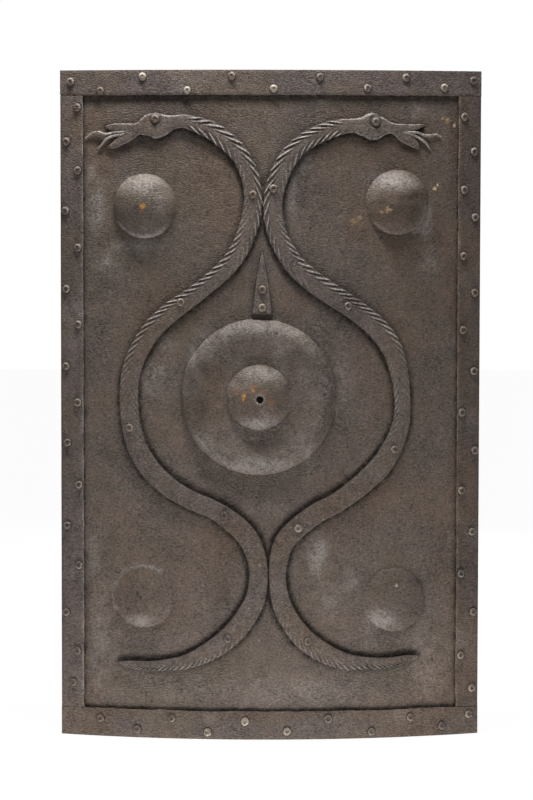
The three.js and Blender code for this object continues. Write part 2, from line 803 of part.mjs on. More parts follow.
// The leather sleeve round the middle of the bar.
function roundedSlot(width, height, corner) {
  const slot = new THREE.Shape();
  const w = width / 2 - corner;
  const h = height / 2 - corner;
  slot.absarc(w, h, corner, 0, Math.PI / 2, false);
  slot.absarc(-w, h, corner, Math.PI / 2, Math.PI, false);
  slot.absarc(-w, -h, corner, Math.PI, 1.5 * Math.PI, false);
  slot.absarc(w, -h, corner, 1.5 * Math.PI, 2 * Math.PI, false);
  return slot;
}
const boreWidth = gripBarHeight + 2 * fitGap;
const boreDepth = gripBarThickness + 2 * fitGap;
const sleeveOutline = roundedSlot(
  boreWidth + 2 * leatherThickness,
  boreDepth + 2 * leatherThickness,
  leatherThickness,
);
sleeveOutline.holes.push(
  new THREE.Path([
    new THREE.Vector2(-boreWidth / 2, -boreDepth / 2),
    new THREE.Vector2(-boreWidth / 2, boreDepth / 2),
    new THREE.Vector2(boreWidth / 2, boreDepth / 2),
    new THREE.Vector2(boreWidth / 2, -boreDepth / 2),
  ]),
);
const sleeve = new THREE.ExtrudeGeometry(sleeveOutline, {
  depth: leatherLength,
  bevelEnabled: false,
  curveSegments: arcSteps,
});
sleeve.translate(0, 0, -leatherLength / 2);
const sleeveMesh = addPiece("grip_leather", sleeve, leatherMaterial);
sleeveMesh.rotation.set(0, Math.PI / 2, 0);
sleeveMesh.position.set(0, padInner.y, gripUp);

export default shield;
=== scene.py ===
import math

import bmesh
import bpy
import numpy as np
from mathutils import Matrix, Vector, noise


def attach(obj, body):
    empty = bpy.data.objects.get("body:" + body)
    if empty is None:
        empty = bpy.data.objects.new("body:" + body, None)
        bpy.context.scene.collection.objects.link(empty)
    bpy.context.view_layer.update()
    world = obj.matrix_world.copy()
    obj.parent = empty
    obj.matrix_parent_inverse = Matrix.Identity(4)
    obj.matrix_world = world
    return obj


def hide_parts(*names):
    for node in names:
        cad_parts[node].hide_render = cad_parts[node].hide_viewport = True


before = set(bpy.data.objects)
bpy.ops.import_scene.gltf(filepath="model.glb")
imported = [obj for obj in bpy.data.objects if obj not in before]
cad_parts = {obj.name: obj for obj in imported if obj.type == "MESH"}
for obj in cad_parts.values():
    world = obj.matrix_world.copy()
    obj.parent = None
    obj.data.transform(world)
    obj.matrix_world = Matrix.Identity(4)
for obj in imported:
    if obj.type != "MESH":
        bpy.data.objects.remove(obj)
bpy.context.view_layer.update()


# The shield sheet
# One sheet of iron, rolled about its upright axis. The medallion and the four corner bosses are hammered
# out from behind, and the face has aged to a dark, pitted grey-brown.
SHEET_HEIGHT = 0.9
SHEET_WIDTH = 0.565
SHEET_BOW = 0.05
SHEET_GAUGE = 0.002
FACE_DEPTH = 0.0018
ROLL_RADIUS = ((SHEET_WIDTH / 2) ** 2 + SHEET_BOW**2) / (2 * SHEET_BOW)
HALF_SHEET = ROLL_RADIUS * math.asin(SHEET_WIDTH / 2 / ROLL_RADIUS)

# How far the straps reach in over the face. The top one is flat to a little less.
TOP_STRAP_WIDTH = 0.0335
TOP_STRAP_FLAT = 0.033
BOTTOM_STRAP_WIDTH = 0.038
SIDE_STRAP_WIDTH = 0.032

# Middles on the flat pattern, then each corner boss's middle, radius and rise.
MEDALLION = (-0.0164, 0.4635)
MIDDLE_HOLE = (-0.015, 0.4612)
UPPER_LEFT = (-0.1706, 0.7185)
UPPER_RIGHT = (0.1702, 0.724)
LOWER_LEFT = (-0.1725, 0.193)
LOWER_RIGHT = (0.1682, 0.188)
CORNER_BOSSES = (
    (*UPPER_LEFT, 0.0434, 0.018),
    (*UPPER_RIGHT, 0.0436, 0.018),
    (*LOWER_LEFT, 0.043, 0.0085),
    (*LOWER_RIGHT, 0.043, 0.0095),
)
MEDALLION_RADIUS = 0.105
MEDALLION_RISE = 0.0125
MEDALLION_SHOULDER = 0.023
MEDALLION_VALLEY = 0.0042
MIDDLE_BOSS_RADIUS = 0.0435
MIDDLE_BOSS_RISE = 0.0165
MIDDLE_HOLE_RADIUS = 0.005
BEATEN_LUMPS = 0.0007
FACETS = 5
FACET_SOFTNESS = 0.0008


def rolled(across, up, out):
    """A place on the flat pattern, carried to where rolling puts it."""
    turn = across / ROLL_RADIUS
    reach = ROLL_RADIUS + out
    return reach * math.sin(turn), ROLL_RADIUS + FACE_DEPTH - reach * math.cos(turn), up


def ease(low, high, value):
    """0 below low, 1 above high, and a smooth rise between them."""
    share = min(max((value - low) / (high - low), 0.0), 1.0)
    return share * share * (3 - 2 * share)


def fade(low, high, value):
    """1 below low, 0 above high, and a smooth fall between them."""
    return 1 - ease(low, high, value)


def hump(value, middle, width):
    """1 at the middle, falling away smoothly over about width on both sides."""
    return math.exp(-(((value - middle) / width) ** 2))


def lumps(across, up, size, seed):
    """A smooth field of hollows and swells about size wide, from -1 to 1."""
    return noise.noise(Vector((across / size, up / size, seed)))


def medallion_height(radius):
    """The medallion's section: a soft shoulder and a ring that sinks to a valley."""
    inward = MEDALLION_RADIUS - radius
    shoulder = 1 - (1 - min(inward / MEDALLION_SHOULDER, 1.0)) ** 2
    rise = MEDALLION_RISE * shoulder**0.65 * ease(0.0, 0.002, inward)
    return rise - MEDALLION_VALLEY * ease(0.02, 0.055, inward)


def beaten_dome(across, up, radius, rise, seed):
    """A dome raised from behind and left with a few flat hammer facets, which meet in soft creases."""
    share = math.hypot(across, up) / radius
    height = rise * max(1 - share**2, 0.0) ** 0.72
    for j in range(FACETS):
        turn = seed * 1.9 + j * 1.2566 + 0.5 * math.sin(seed * 7.3 + j * 2.1)
        touch = 0.5 + 0.18 * math.sin(seed * 3.7 + j * 4.3)
        level = (1 - touch**2) ** 0.72 - 0.035
        slope = 1.44 * touch * (1 - touch**2) ** -0.28
        along = (across * math.cos(turn) + up * math.sin(turn)) / radius
        facet = rise * (level - slope * (along - touch))
        gap = min(max(0.5 + 0.5 * (height - facet) / FACET_SOFTNESS, 0.0), 1.0)
        height += (facet - height) * gap - FACET_SOFTNESS * gap * (1 - gap)
    return max(height, 0.0) * ease(0.0, 0.002, radius * (1 - share))


def sheet_relief(across, up):
    """How far the sheet's face stands out from its rolled surface."""
    height = 0.0
    aside, above = across - MEDALLION[0], up - MEDALLION[1]
    reach = math.hypot(aside, above)
    if reach < MEDALLION_RADIUS:
        height = medallion_height(reach)
        height += BEATEN_LUMPS * lumps(across, up, 0.024, 4.0) * ease(0, 0.02, MEDALLION_RADIUS - reach)
    if reach < MIDDLE_BOSS_RADIUS:
        height += beaten_dome(aside, above, MIDDLE_BOSS_RADIUS, MIDDLE_BOSS_RISE, 2.4)
    for k, (bx, bz, radius, rise) in enumerate(CORNER_BOSSES):
        reach = math.hypot(across - bx, up - bz)
        if reach < radius:
            height = beaten_dome(across - bx, up - bz, radius, rise, 0.6 + k)
            height += BEATEN_LUMPS * lumps(across, up, 0.022, 7.0 + k) * ease(0, 0.012, radius - reach)
    border = min(HALF_SHEET - abs(across), up, SHEET_HEIGHT - up)
    swell = 0.00055 * lumps(across, up, 0.085, 1.0) + 0.00022 * lumps(across, up, 0.026, 2.0)
    swell += 0.00008 * lumps(across, up, 0.009, 3.0)
    return height + swell * ease(0.032, 0.055, border)


def placed(name, data):
    """A new object in the scene."""
    made = bpy.data.objects.new(name, data)
    bpy.context.scene.collection.objects.link(made)
    return made


def mesh_object(name, vertices, faces, material, crease=35):
    """A smooth-shaded object whose place is in its mesh, with hard edges past the crease angle."""
    mesh = bpy.data.meshes.new(name)
    mesh.from_pydata(vertices, [], faces)
    mesh.validate()
    mesh.shade_smooth()
    mesh.set_sharp_from_angle(angle=math.radians(crease))
    mesh.materials.append(material)
    return placed(name, mesh)


def mark(made, marks):
    """Keeps each vertex's pale marks (wear and painted highlights), stain, and dark marks (dirt and painted
    shade).
    """
    table = np.full((len(made.data.vertices), 3), marks, dtype=np.float32)
    for name, values in zip(("worn", "stain", "grime"), table.T):
        layer = made.data.attributes.new(name, "FLOAT", "POINT")
        layer.data.foreach_set("value", values.copy())


def new_group(name, inputs, outputs, kind="ShaderNodeTree"):
    """An empty node group with named sockets."""
    group = bpy.data.node_groups.new(name, kind)
    for label, socket_type, *value in inputs:
        socket = group.interface.new_socket(label, in_out="INPUT", socket_type=socket_type)
        if value:
            socket.default_value = value[0]
    for label, socket_type in outputs:
        group.interface.new_socket(label, in_out="OUTPUT", socket_type=socket_type)
    return group


class Wiring:
    """Adds nodes to one tree and joins them with few words."""

    def __init__(self, tree):
        self.tree = tree

    def node(self, kind, settings=None, **values):
        """One node, with its settings and its named inputs."""
        made = self.tree.nodes.new(kind)
        for key, value in (settings or {}).items():
            setattr(made, key, value)
        for key, value in values.items():
            self.feed(made.inputs[key.replace("_", " ")], value)
        return made

    def feed(self, socket, value):
        """Joins a socket to another one, or sets it to a value."""
        if isinstance(value, bpy.types.NodeSocket):
            self.tree.links.new(value, socket)
        else:
            socket.default_value = value

    def fill(self, made, *values):
        """Feeds a node's inputs in their order, and gives its first output."""
        for socket, value in zip(made.inputs, values):
            self.feed(socket, value)
        return made.outputs[0]

    def math(self, operation, *values):
        return self.fill(self.node("ShaderNodeMath", {"operation": operation}), *values)

    def add(self, total, *others):
        for other in others:
            total = self.math("ADD", total, other)
        return total

    def minus(self, first, second):
        return self.math("SUBTRACT", first, second)

    def times(self, product, *others):
        for other in others:
            product = self.math("MULTIPLY", product, other)
        return product

    def weighed(self, *pairs):
        """The sum of some values, each times its weight."""
        return self.add(*[self.times(value, weight) for value, weight in pairs])

    def tilts(self, *pairs):
        """Noises turned about their middle: each is zero on average, and its amount times as strong."""
        return [self.times(self.minus(value, 0.5), amount) for value, amount in pairs]

    def span(self, value, low, high, to_low=0.0, to_high=1.0):
        """A smooth step from one level to another while a value runs from low to high."""
        made = self.node("ShaderNodeMapRange", {"interpolation_type": "SMOOTHSTEP"})
        return self.fill(made, value, low, high, to_low, to_high)

    def blend(self, share, first, second, way="MIX"):
        """One colour laid over another."""
        made = self.node("ShaderNodeMix", {"data_type": "RGBA", "blend_type": way}, Factor=share)
        self.feed(made.inputs[6], first)
        self.feed(made.inputs[7], second)
        return made.outputs[2]

    def stretched(self, place, scale):
        """A place with its three directions scaled."""
        return self.node("ShaderNodeMapping", Vector=place, Scale=scale).outputs[0]

    def clouds(self, place, scale, detail=4.0, rough=0.55, offset=0.0):
        """A soft noise from 0 to 1."""
        if offset:
            shifted = self.node("ShaderNodeVectorMath", {"operation": "ADD"})
            place = self.fill(shifted, place, (offset, offset * 1.7, -offset * 0.6))
        made = self.node("ShaderNodeTexNoise", Vector=place, Scale=scale, Detail=detail, Roughness=rough)
        return made.outputs["Fac"]


COLOUR = "NodeSocketColor"
NUMBER = "NodeSocketFloat"
VECTOR = "NodeSocketVector"

# Old iron seen close: soft patches of brown and olive over grey, rust freckles in the stained parts, a
# fine pitted grain, pale places, some of bare grey iron showing through and some painted highlights and
# glints, and dark places that are partly dirt and partly painted shade.
iron_group = new_group(
    "old_iron",
    [
        ("Place", VECTOR),
        ("Grey", COLOUR, (0.101, 0.079, 0.067, 1)),
        ("Brown", COLOUR, (0.092, 0.066, 0.05, 1)),
        ("Olive", COLOUR, (0.079, 0.061, 0.046, 1)),
        ("Rust", COLOUR, (0.15, 0.082, 0.048, 1)),
        ("Bare", COLOUR, (0.245, 0.218, 0.203, 1)),
        ("Brown Share", NUMBER, 0.5),
        ("Worn", NUMBER, 0.0),
        ("Stain", NUMBER, 0.0),
        ("Grime", NUMBER, 0.0),
        ("Grain", NUMBER, 1.0),
    ],
    [("Colour", COLOUR), ("Roughness", NUMBER), ("Height", NUMBER)],
)
w = Wiring(iron_group)
given = w.node("NodeGroupInput").outputs
place, worn, grime = given["Place"], given["Worn"], given["Grime"]
broad = w.clouds(place, 8.0, 3.0, 0.55)
olive = w.clouds(place, 13.0, 3.0, 0.55, 3.1)
mottle = w.clouds(place, 55.0, 5.0, 0.62, 5.3)
blotch = w.clouds(place, 150.0, 4.0, 0.6, 6.1)
grain = w.clouds(place, 270.0, 3.0, 0.6, 7.7)
speck = w.clouds(place, 820.0, 2.0, 0.6, 9.2)
ripple = w.clouds(w.stretched(place, (0.45, 0.45, 1.0)), 640.0, 2.0, 0.5, 11.3)

brownness = w.add(broad, w.times(given["Stain"], 0.35), *w.tilts((mottle, 0.25), (given["Brown Share"], 0.4)))
colour = w.blend(w.span(brownness, 0.46, 0.72), given["Grey"], given["Brown"])
olive_mask = w.span(w.add(olive, *w.tilts((blotch, 0.15))), 0.48, 0.66, 0.0, 0.8)
colour = w.blend(olive_mask, colour, given["Olive"])
freckle = w.times(w.span(w.clouds(place, 210.0, 3.0, 0.6, 2.2), 0.56, 0.68), given["Stain"])
colour = w.blend(w.times(freckle, 0.35), colour, given["Rust"])

pits = w.node("ShaderNodeTexVoronoi", {"feature": "F1"}, Vector=place, Scale=480.0, Randomness=1.0)
pit = w.times(w.span(pits.outputs["Distance"], 0.1, 0.42, 1.0, 0.0), w.span(mottle, 0.4, 0.6))
shade = w.add(1.0, *w.tilts(
    (broad, 0.85), (olive, 0.75), (mottle, 0.95), (blotch, 0.3), (grain, 0.5), (ripple, 2.0), (speck, 1.4),
))
shade = w.minus(shade, w.times(pit, 0.06))

broken = w.span(w.weighed((mottle, 0.5), (blotch, 0.3), (grain, 0.2)), 0.38, 0.6, 0.15, 1.2)
evened = w.times(w.minus(0.8, broken), w.times(worn, 0.7))
glint = w.times(w.span(speck, 0.6, 0.72), w.span(blotch, 0.5, 0.62, 0.0, 0.65))
# The pale mask takes rubbed bare iron, painted highlights and painted glints.
bare_and_highlight_mask = w.math("MAXIMUM", w.times(worn, w.add(broken, evened)), glint)
for angle, offset in ((0.72, 1.1), (-0.85, 2.7), (0.15, 4.9)):
    turned = w.node("ShaderNodeVectorRotate", {"rotation_type": "Y_AXIS"}, Vector=place, Angle=angle)
    drawn = w.stretched(turned.outputs[0], (640, 30, 22))
    scored = w.span(w.clouds(drawn, 1.0, 2.0, 0.5, offset), 0.58, 0.66)
    bare_and_highlight_mask = w.math("MAXIMUM", bare_and_highlight_mask, w.times(scored, w.span(worn, 0.0, 0.5, 0.04, 0.8)))
colour = w.blend(bare_and_highlight_mask, colour, given["Bare"])
shade = w.add(1.0, w.times(w.minus(shade, 1.0), w.span(bare_and_highlight_mask, 0.2, 1.0, 1.0, 0.3)))

# Darkening from dirt and painted shade lowers the tone.
darkness = w.times(grime, w.span(blotch, 0.36, 0.62, 0.6, 1.35))
darkness = w.math("MINIMUM", w.add(darkness, w.times(*w.tilts((grain, 1.2)), grime)), 1.0)
shade = w.times(shade, w.minus(1.0, w.times(darkness, 0.82)))
tone = w.fill(w.node("ShaderNodeCombineColor"), shade, shade, shade)
rough = w.add(w.span(mottle, 0.3, 0.7, 0.48, 0.66), w.times(grime, 0.25))
height = w.weighed((grain, 0.65), (mottle, 0.6), (blotch, 0.4), (ripple, 1.1), (speck, 0.22))
w.node(
    "NodeGroupOutput",
    Colour=w.blend(1.0, colour, tone, "MULTIPLY"),
    Roughness=w.minus(rough, w.times(bare_and_highlight_mask, 0.1)),
    Height=w.times(w.minus(height, w.times(pit, 0.1)), given["Grain"]),
)

# Rust that has come up in one place: a soft, broken blot round a point.
rust_group = new_group(
    "rust_blot",
    [("Place", VECTOR), ("Middle", VECTOR), ("Size", NUMBER, 0.01), ("Strength", NUMBER, 1.0)],
    [("Mask", NUMBER)],
)
w = Wiring(rust_group)
given = w.node("NodeGroupInput").outputs
gap = w.node("ShaderNodeVectorMath", {"operation": "DISTANCE"})
w.fill(gap, given["Place"], given["Middle"])
ragged = w.span(w.clouds(given["Place"], 260.0, 5.0, 0.7), 0.25, 0.75, -0.55, 0.55)
reach = w.add(w.math("DIVIDE", gap.outputs["Value"], given["Size"]), ragged)
w.node("NodeGroupOutput", Mask=w.times(w.span(reach, 0.35, 1.0, 1.0, 0.0), given["Strength"]))


def new_material(name):
    """A material with an empty tree, its wiring, and the place on the object."""
    material = bpy.data.materials.new(name)
    material.use_nodes = True
    material.node_tree.nodes.clear()
    w = Wiring(material.node_tree)
    return material, w, w.node("ShaderNodeTexCoord").outputs["Object"]


def surface(w, height, bump, strength=1.0, **values):
    """A Principled surface with fine relief."""
    raised = w.node("ShaderNodeBump", Strength=strength, Distance=bump, Height=height)
    shader = w.node("ShaderNodeBsdfPrincipled", Normal=raised.outputs["Normal"], **values)
    w.node("ShaderNodeOutputMaterial", Surface=shader.outputs["BSDF"])


def iron_material(name, colours, brown_share, grain, bump, blots=(), metallic=0.04):
    """A Principled iron finish from the old iron group, with rust blots at chosen places."""
    material, w, place = new_material(name)
    values = {label: (*colour, 1) for label, colour in colours.items()}
    for label in ("Worn", "Stain", "Grime"):
        values[label] = w.node("ShaderNodeAttribute", {"attribute_name": label.lower()}).outputs["Fac"]
    values |= {"Place": place, "Brown_Share": brown_share, "Grain": grain}
    iron = w.node("ShaderNodeGroup", {"node_tree": iron_group}, **values)
    colour = iron.outputs["Colour"]
    for middle, size, strength, tint in blots:
        blot = w.node("ShaderNodeGroup", {"node_tree": rust_group}, Place=place, Middle=middle, Size=size,
                      Strength=strength)
        colour = w.blend(blot.outputs["Mask"], colour, (*tint, 1))
    surface(w, iron.outputs["Height"], bump, Base_Color=colour, Roughness=iron.outputs["Roughness"],
            Metallic=metallic, Specular_IOR_Level=0.16)
    return material


# Blots of rust, soot and pale crust: place on the face, size, strength and colour.
ORANGE = (0.42, 0.2, 0.055)
RUST = (0.2, 0.095, 0.05)
OCHRE = (0.36, 0.24, 0.12)
STRAW = (0.52, 0.42, 0.27)
SOOT = (0.02, 0.017, 0.015)
face_blots = (
    (-0.0355, 0.4665, 0.004, 1.0, ORANGE), (-0.0362, 0.461, 0.003, 0.8, ORANGE),
    (-0.023, 0.4785, 0.006, 0.7, RUST), (-0.024, 0.474, 0.0026, 0.9, ORANGE),
    (0.0, 0.458, 0.006, 0.6, RUST), (-0.047, 0.473, 0.008, 0.4, RUST),
    (-0.012, 0.472, 0.005, 0.4, RUST), (-0.1695, 0.7185, 0.0046, 0.9, ORANGE),
    (-0.171, 0.712, 0.005, 0.6, RUST), (0.1535, 0.715, 0.0056, 0.75, OCHRE),
    (0.146, 0.711, 0.0034, 0.6, OCHRE), (0.223, 0.743, 0.0036, 1.0, STRAW),
    (0.227, 0.747, 0.0026, 0.9, STRAW), (0.11, 0.699, 0.006, 0.35, OCHRE),
    (0.119, 0.703, 0.004, 0.3, OCHRE), (-0.179, 0.1965, 0.0034, 0.8, SOOT),
    (-0.175, 0.1925, 0.0024, 0.8, SOOT), (0.17, 0.208, 0.0028, 0.8, (0.42, 0.38, 0.32)),
    (0.24, 0.8345, 0.004, 0.6, OCHRE), (0.2505, 0.8275, 0.0036, 0.8, (0.45, 0.36, 0.22)),
    (0.234, 0.837, 0.003, 0.6, OCHRE),
)
blots = [(rolled(a, u, sheet_relief(a, u)), *look) for a, u, *look in face_blots]
sheet_iron = iron_material("hammered_iron_sheet", {}, 0.5, 1.0, 0.001, blots)


def steps_down(*stops):
    """Radii from the first stop to the last, each span cut into even steps of about its own size."""
    radii = [stops[0][0]]
    for (high, _), (low, step) in zip(stops, stops[1:]):
        count = max(round((high - low) / step), 1)
        radii += [high + (low - high) * k / count for k in range(1, count + 1)]
    return radii


# The flat pattern is an even grid. Round each dome a block of it gives way to rings about the dome, so that
# its foot is a true circle. Each dome has its middle, the gap to the grid, how many rings ease the grid's
# square edge to a circle, the hole that the inner rings close in on, and the rings' radii.
GRID_STEP = 0.004
across_lines = np.linspace(-HALF_SHEET, HALF_SHEET, round(2 * HALF_SHEET / GRID_STEP) + 1)
up_lines = np.linspace(0, SHEET_HEIGHT, round(SHEET_HEIGHT / GRID_STEP) + 1)
circles = [(*MEDALLION, MEDALLION_RADIUS), (*MEDALLION, MIDDLE_BOSS_RADIUS)]
circles += [(bx, bz, radius) for bx, bz, radius, _ in CORNER_BOSSES]
medallion_rings = steps_down(
    (MEDALLION_RADIUS + 0.004, 0), (MEDALLION_RADIUS, 0.002), (MEDALLION_RADIUS - 0.004, 0.0008),
    (MEDALLION_RADIUS - 0.012, 0.002), (MIDDLE_BOSS_RADIUS + 0.004, 0.0036), (MIDDLE_BOSS_RADIUS, 0.002),
    (MIDDLE_BOSS_RADIUS - 0.003, 0.001), (0.0065, 0.0031), (MIDDLE_HOLE_RADIUS, 0.0008),
)
ringed = [(MEDALLION, 0.0125, 5, MIDDLE_HOLE, medallion_rings)]
for bx, bz, radius, _ in CORNER_BOSSES:
    boss_rings = steps_down((radius + 0.003, 0), (radius, 0.0015), (radius - 0.003, 0.001), (0.0026, 0.0031))
    ringed.append(((bx, bz), 0.0085, 2, None, boss_rings))


def block_round(middle, reach):
    """The grid lines that a dome's block lies between: two across and two up."""
    sides = []
    for lines, place in zip((across_lines, up_lines), middle):
        sides += [int(np.searchsorted(lines, place - reach)), int(np.searchsorted(lines, place + reach)) - 1]
    return sides


blocks = [block_round(middle, radii[0] + margin) for middle, margin, _, _, radii in ringed]
flat_places, at_line, cells = [], {}, []
for j, up in enumerate(up_lines):
    for i, across in enumerate(across_lines):
        if not any(i0 < i < i1 and j0 < j < j1 for i0, i1, j0, j1 in blocks):
            at_line[i, j] = len(flat_places)
            flat_places.append((float(across), float(up)))
for j in range(len(up_lines) - 1):
    for i in range(len(across_lines) - 1):
        if not any(i0 <= i < i1 and j0 <= j < j1 for i0, i1, j0, j1 in blocks):
            cells.append((at_line[i, j], at_line[i + 1, j], at_line[i + 1, j + 1], at_line[i, j + 1]))


def rings_about(middle, between, hole, radii, edge):
    """Rings of places from a block's edge down to a dome's middle, or to its hole."""
    turns = np.arctan2(edge[:, 1] - middle[1], edge[:, 0] - middle[0])
    spokes = np.column_stack([np.cos(turns), np.sin(turns)])
    first = middle + spokes * radii[0]
    rings = [edge + (first - edge) * k / (between + 1) for k in range(1, between + 1)]
    for radius in radii:
        shift = min(max(1 - (radius - 0.005) / 0.035, 0.0), 1.0) if hole else 0.0
        rings.append(middle * (1 - shift) + np.array(hole or middle) * shift + spokes * radius)
    return rings


for (middle, _, between, hole, radii), (i0, i1, j0, j1) in zip(ringed, blocks):
    outer = [at_line[i, j0] for i in range(i0, i1)] + [at_line[i1, j] for j in range(j0, j1)]
    outer += [at_line[i, j1] for i in range(i1, i0, -1)] + [at_line[i0, j] for j in range(j1, j0, -1)]
    edge = np.array([flat_places[v] for v in outer])
    for ring in rings_about(np.array(middle), between, hole, radii, edge):
        inner = [len(flat_places) + k for k in range(len(outer))]
        flat_places += [(float(across), float(up)) for across, up in ring]
        for k in range(len(outer)):
            n = (k + 1) % len(outer)
            cells.append((outer[k], outer[n], inner[n], inner[k]))
        outer = inner
    if hole is None:
        flat_places.append(middle)
        cells += [(outer[k], outer[(k + 1) % len(outer)], len(flat_places) - 1) for k in range(len(outer))]

# The back follows the face at the sheet's own gauge, and the open edges are closed between the two.
face_points = np.array([rolled(a, u, sheet_relief(a, u)) for a, u in flat_places])
quads = np.array([(*cell, cell[-1])[:4] for cell in cells])
normals = np.zeros_like(face_points)
corners = [face_points[quads[:, corner]] for corner in range(4)]
cell_normals = np.cross(corners[2] - corners[0], corners[3] - corners[1])
for corner in range(4):
    np.add.at(normals, quads[:, corner], cell_normals)
normals /= np.maximum(np.linalg.norm(normals, axis=1, keepdims=True), 1e-12)
back_points = face_points - normals * SHEET_GAUGE
back_points[:, 2] = np.clip(back_points[:, 2], 0.0, SHEET_HEIGHT)
count = len(face_points)
sheet_faces = cells + [tuple(v + count for v in reversed(cell)) for cell in cells]
edges = [pair for cell in cells for pair in zip(cell, cell[1:] + cell[:1])]
edge_set = set(edges)
sheet_faces += [(b, a, a + count, b + count) for a, b in edges if (b, a) not in edge_set]
sheet_points = np.vstack([face_points, back_points]).tolist()
sheet = mesh_object("shield_sheet_iron", sheet_points, sheet_faces, sheet_iron)


# Pale places on the face: some left by handling and scouring, and some painted highlights on the tops and
# bottoms of the domes. Middle, half width, half height and strength.
wear_and_highlight_patches = (
    (-0.237, 0.72, 0.011, 0.035, 0.45), (-0.244, 0.76, 0.008, 0.019, 0.3),
    (-0.184, 0.665, 0.035, 0.012, 0.45), (-0.221, 0.643, 0.019, 0.013, 0.3),
    (-0.163, 0.492, 0.027, 0.029, 0.35), (-0.143, 0.539, 0.016, 0.019, 0.25),
    (0.029, 0.741, 0.009, 0.04, 0.45), (0.042, 0.78, 0.012, 0.019, 0.3), (0.016, 0.68, 0.007, 0.027, 0.25),
    (0.069, 0.859, 0.012, 0.005, 0.4), (0.196, 0.846, 0.009, 0.009, 0.4), (0.21, 0.698, 0.009, 0.021, 0.7),
    (0.217, 0.644, 0.013, 0.024, 0.3), (0.064, 0.249, 0.012, 0.024, 0.7), (0.078, 0.189, 0.019, 0.027, 0.2),
    (0.148, 0.161, 0.017, 0.012, 0.7), (0.11, 0.209, 0.013, 0.021, 0.3), (-0.176, 0.16, 0.016, 0.008, 0.6),
    (-0.234, 0.144, 0.016, 0.08, 0.25), (-0.241, 0.24, 0.011, 0.04, 0.25),
    (-0.191, 0.105, 0.054, 0.007, 0.25), (-0.021, 0.556, 0.054, 0.009, 0.58),
    (-0.088, 0.533, 0.016, 0.021, 0.4), (-0.105, 0.52, 0.006, 0.019, 0.5),
    (0.059, 0.533, 0.019, 0.021, 0.3), (-0.017, 0.374, 0.043, 0.011, 0.66),
    (-0.05, 0.553, 0.022, 0.007, 0.6), (0.024, 0.549, 0.02, 0.006, 0.62),
    (0.012, 0.529, 0.006, 0.012, 0.45), (0.05, 0.385, 0.008, 0.03, 0.4), (-0.092, 0.408, 0.006, 0.022, 0.3),
    (0.086, 0.44, 0.004, 0.02, 0.4), (-0.065, 0.39, 0.019, 0.013, 0.35), (0.039, 0.4, 0.019, 0.019, 0.3),
    (-0.012, 0.494, 0.027, 0.009, 0.74), (-0.015, 0.427, 0.027, 0.008, 0.74),
    (-0.176, 0.748, 0.027, 0.012, 0.66), (-0.149, 0.727, 0.013, 0.013, 0.3),
    (0.163, 0.752, 0.027, 0.01, 0.85), (0.19, 0.751, 0.011, 0.009, 0.35), (0.208, 0.11, 0.035, 0.06, 0.24),
    (-0.122, 0.066, 0.08, 0.019, 0.15), (0.04, 0.067, 0.08, 0.019, 0.2), (-0.028, 0.311, 0.08, 0.013, 0.15),
    (0.093, 0.486, 0.016, 0.04, 0.2),
)
# Where rust has browned it.
brown_patches = (
    (-0.232, 0.767, 0.019, 0.032, 0.7), (-0.233, 0.679, 0.013, 0.019, 0.5),
    (-0.079, 0.74, 0.046, 0.064, 0.75), (-0.109, 0.78, 0.032, 0.027, 0.4),
    (-0.075, 0.844, 0.067, 0.017, 0.6), (0.085, 0.844, 0.08, 0.013, 0.3), (0.097, 0.77, 0.012, 0.017, 0.7),
    (0.114, 0.69, 0.021, 0.019, 0.6), (0.233, 0.68, 0.016, 0.035, 0.6), (0.249, 0.768, 0.006, 0.094, 0.9),
    (0.248, 0.593, 0.007, 0.067, 0.7), (0.25, 0.389, 0.007, 0.08, 0.6), (0.253, 0.184, 0.007, 0.08, 0.8),
    (-0.076, 0.476, 0.017, 0.048, 0.95), (-0.088, 0.432, 0.016, 0.019, 0.4),
    (0.039, 0.594, 0.04, 0.027, 0.3), (-0.055, 0.271, 0.029, 0.067, 0.4), (-0.15, 0.242, 0.04, 0.054, 0.3),
    (0.213, 0.09, 0.035, 0.048, 0.7), (0.233, 0.24, 0.019, 0.054, 0.4), (-0.205, 0.186, 0.08, 0.094, 0.35),
    (-0.255, 0.13, 0.006, 0.08, 0.7), (-0.028, 0.46, 0.035, 0.016, 0.35), (0.152, 0.721, 0.016, 0.019, 0.6),
    (-0.163, 0.593, 0.027, 0.04, 0.3), (0.154, 0.553, 0.024, 0.04, 0.3), (0.195, 0.58, 0.09, 0.2, 0.35),
    (0.11, 0.79, 0.14, 0.09, 0.35),
)


def patch_strength(patches, across, up):
    """How strongly a place is marked by the nearest patches of one kind, from 0 to 1."""
    strength = 0.0
    for px, pz, width, rise, amount in patches:
        spread = ((across - px) / width) ** 2 + ((up - pz) / rise) ** 2
        if spread < 9:
            strength = max(strength, amount * math.exp(-spread))
    return strength


# Bright arcs along the domes' rims, partly rubbed iron and partly painted highlights: middle, radius, half
# width, two angles and strength.
wear_and_highlight_arcs = (
    (UPPER_LEFT, 0.0412, 0.002, 205, 325, 1.0), (UPPER_RIGHT, 0.0466, 0.0036, 292, 352, 1.4),
    (UPPER_RIGHT, 0.0415, 0.0014, 215, 300, 0.35), (LOWER_LEFT, 0.0422, 0.0034, 45, 215, 0.56),
    (LOWER_RIGHT, 0.0424, 0.0014, 60, 130, 0.25), (MEDALLION, 0.0424, 0.0012, 325, 378, 0.6),
    (MEDALLION, 0.0424, 0.0012, 150, 215, 0.45), (MEDALLION, 0.104, 0.0022, 138, 165, 0.6),
    (MEDALLION, 0.104, 0.0018, 330, 372, 0.35), (MEDALLION, 0.1035, 0.002, 60, 120, 0.35),
)


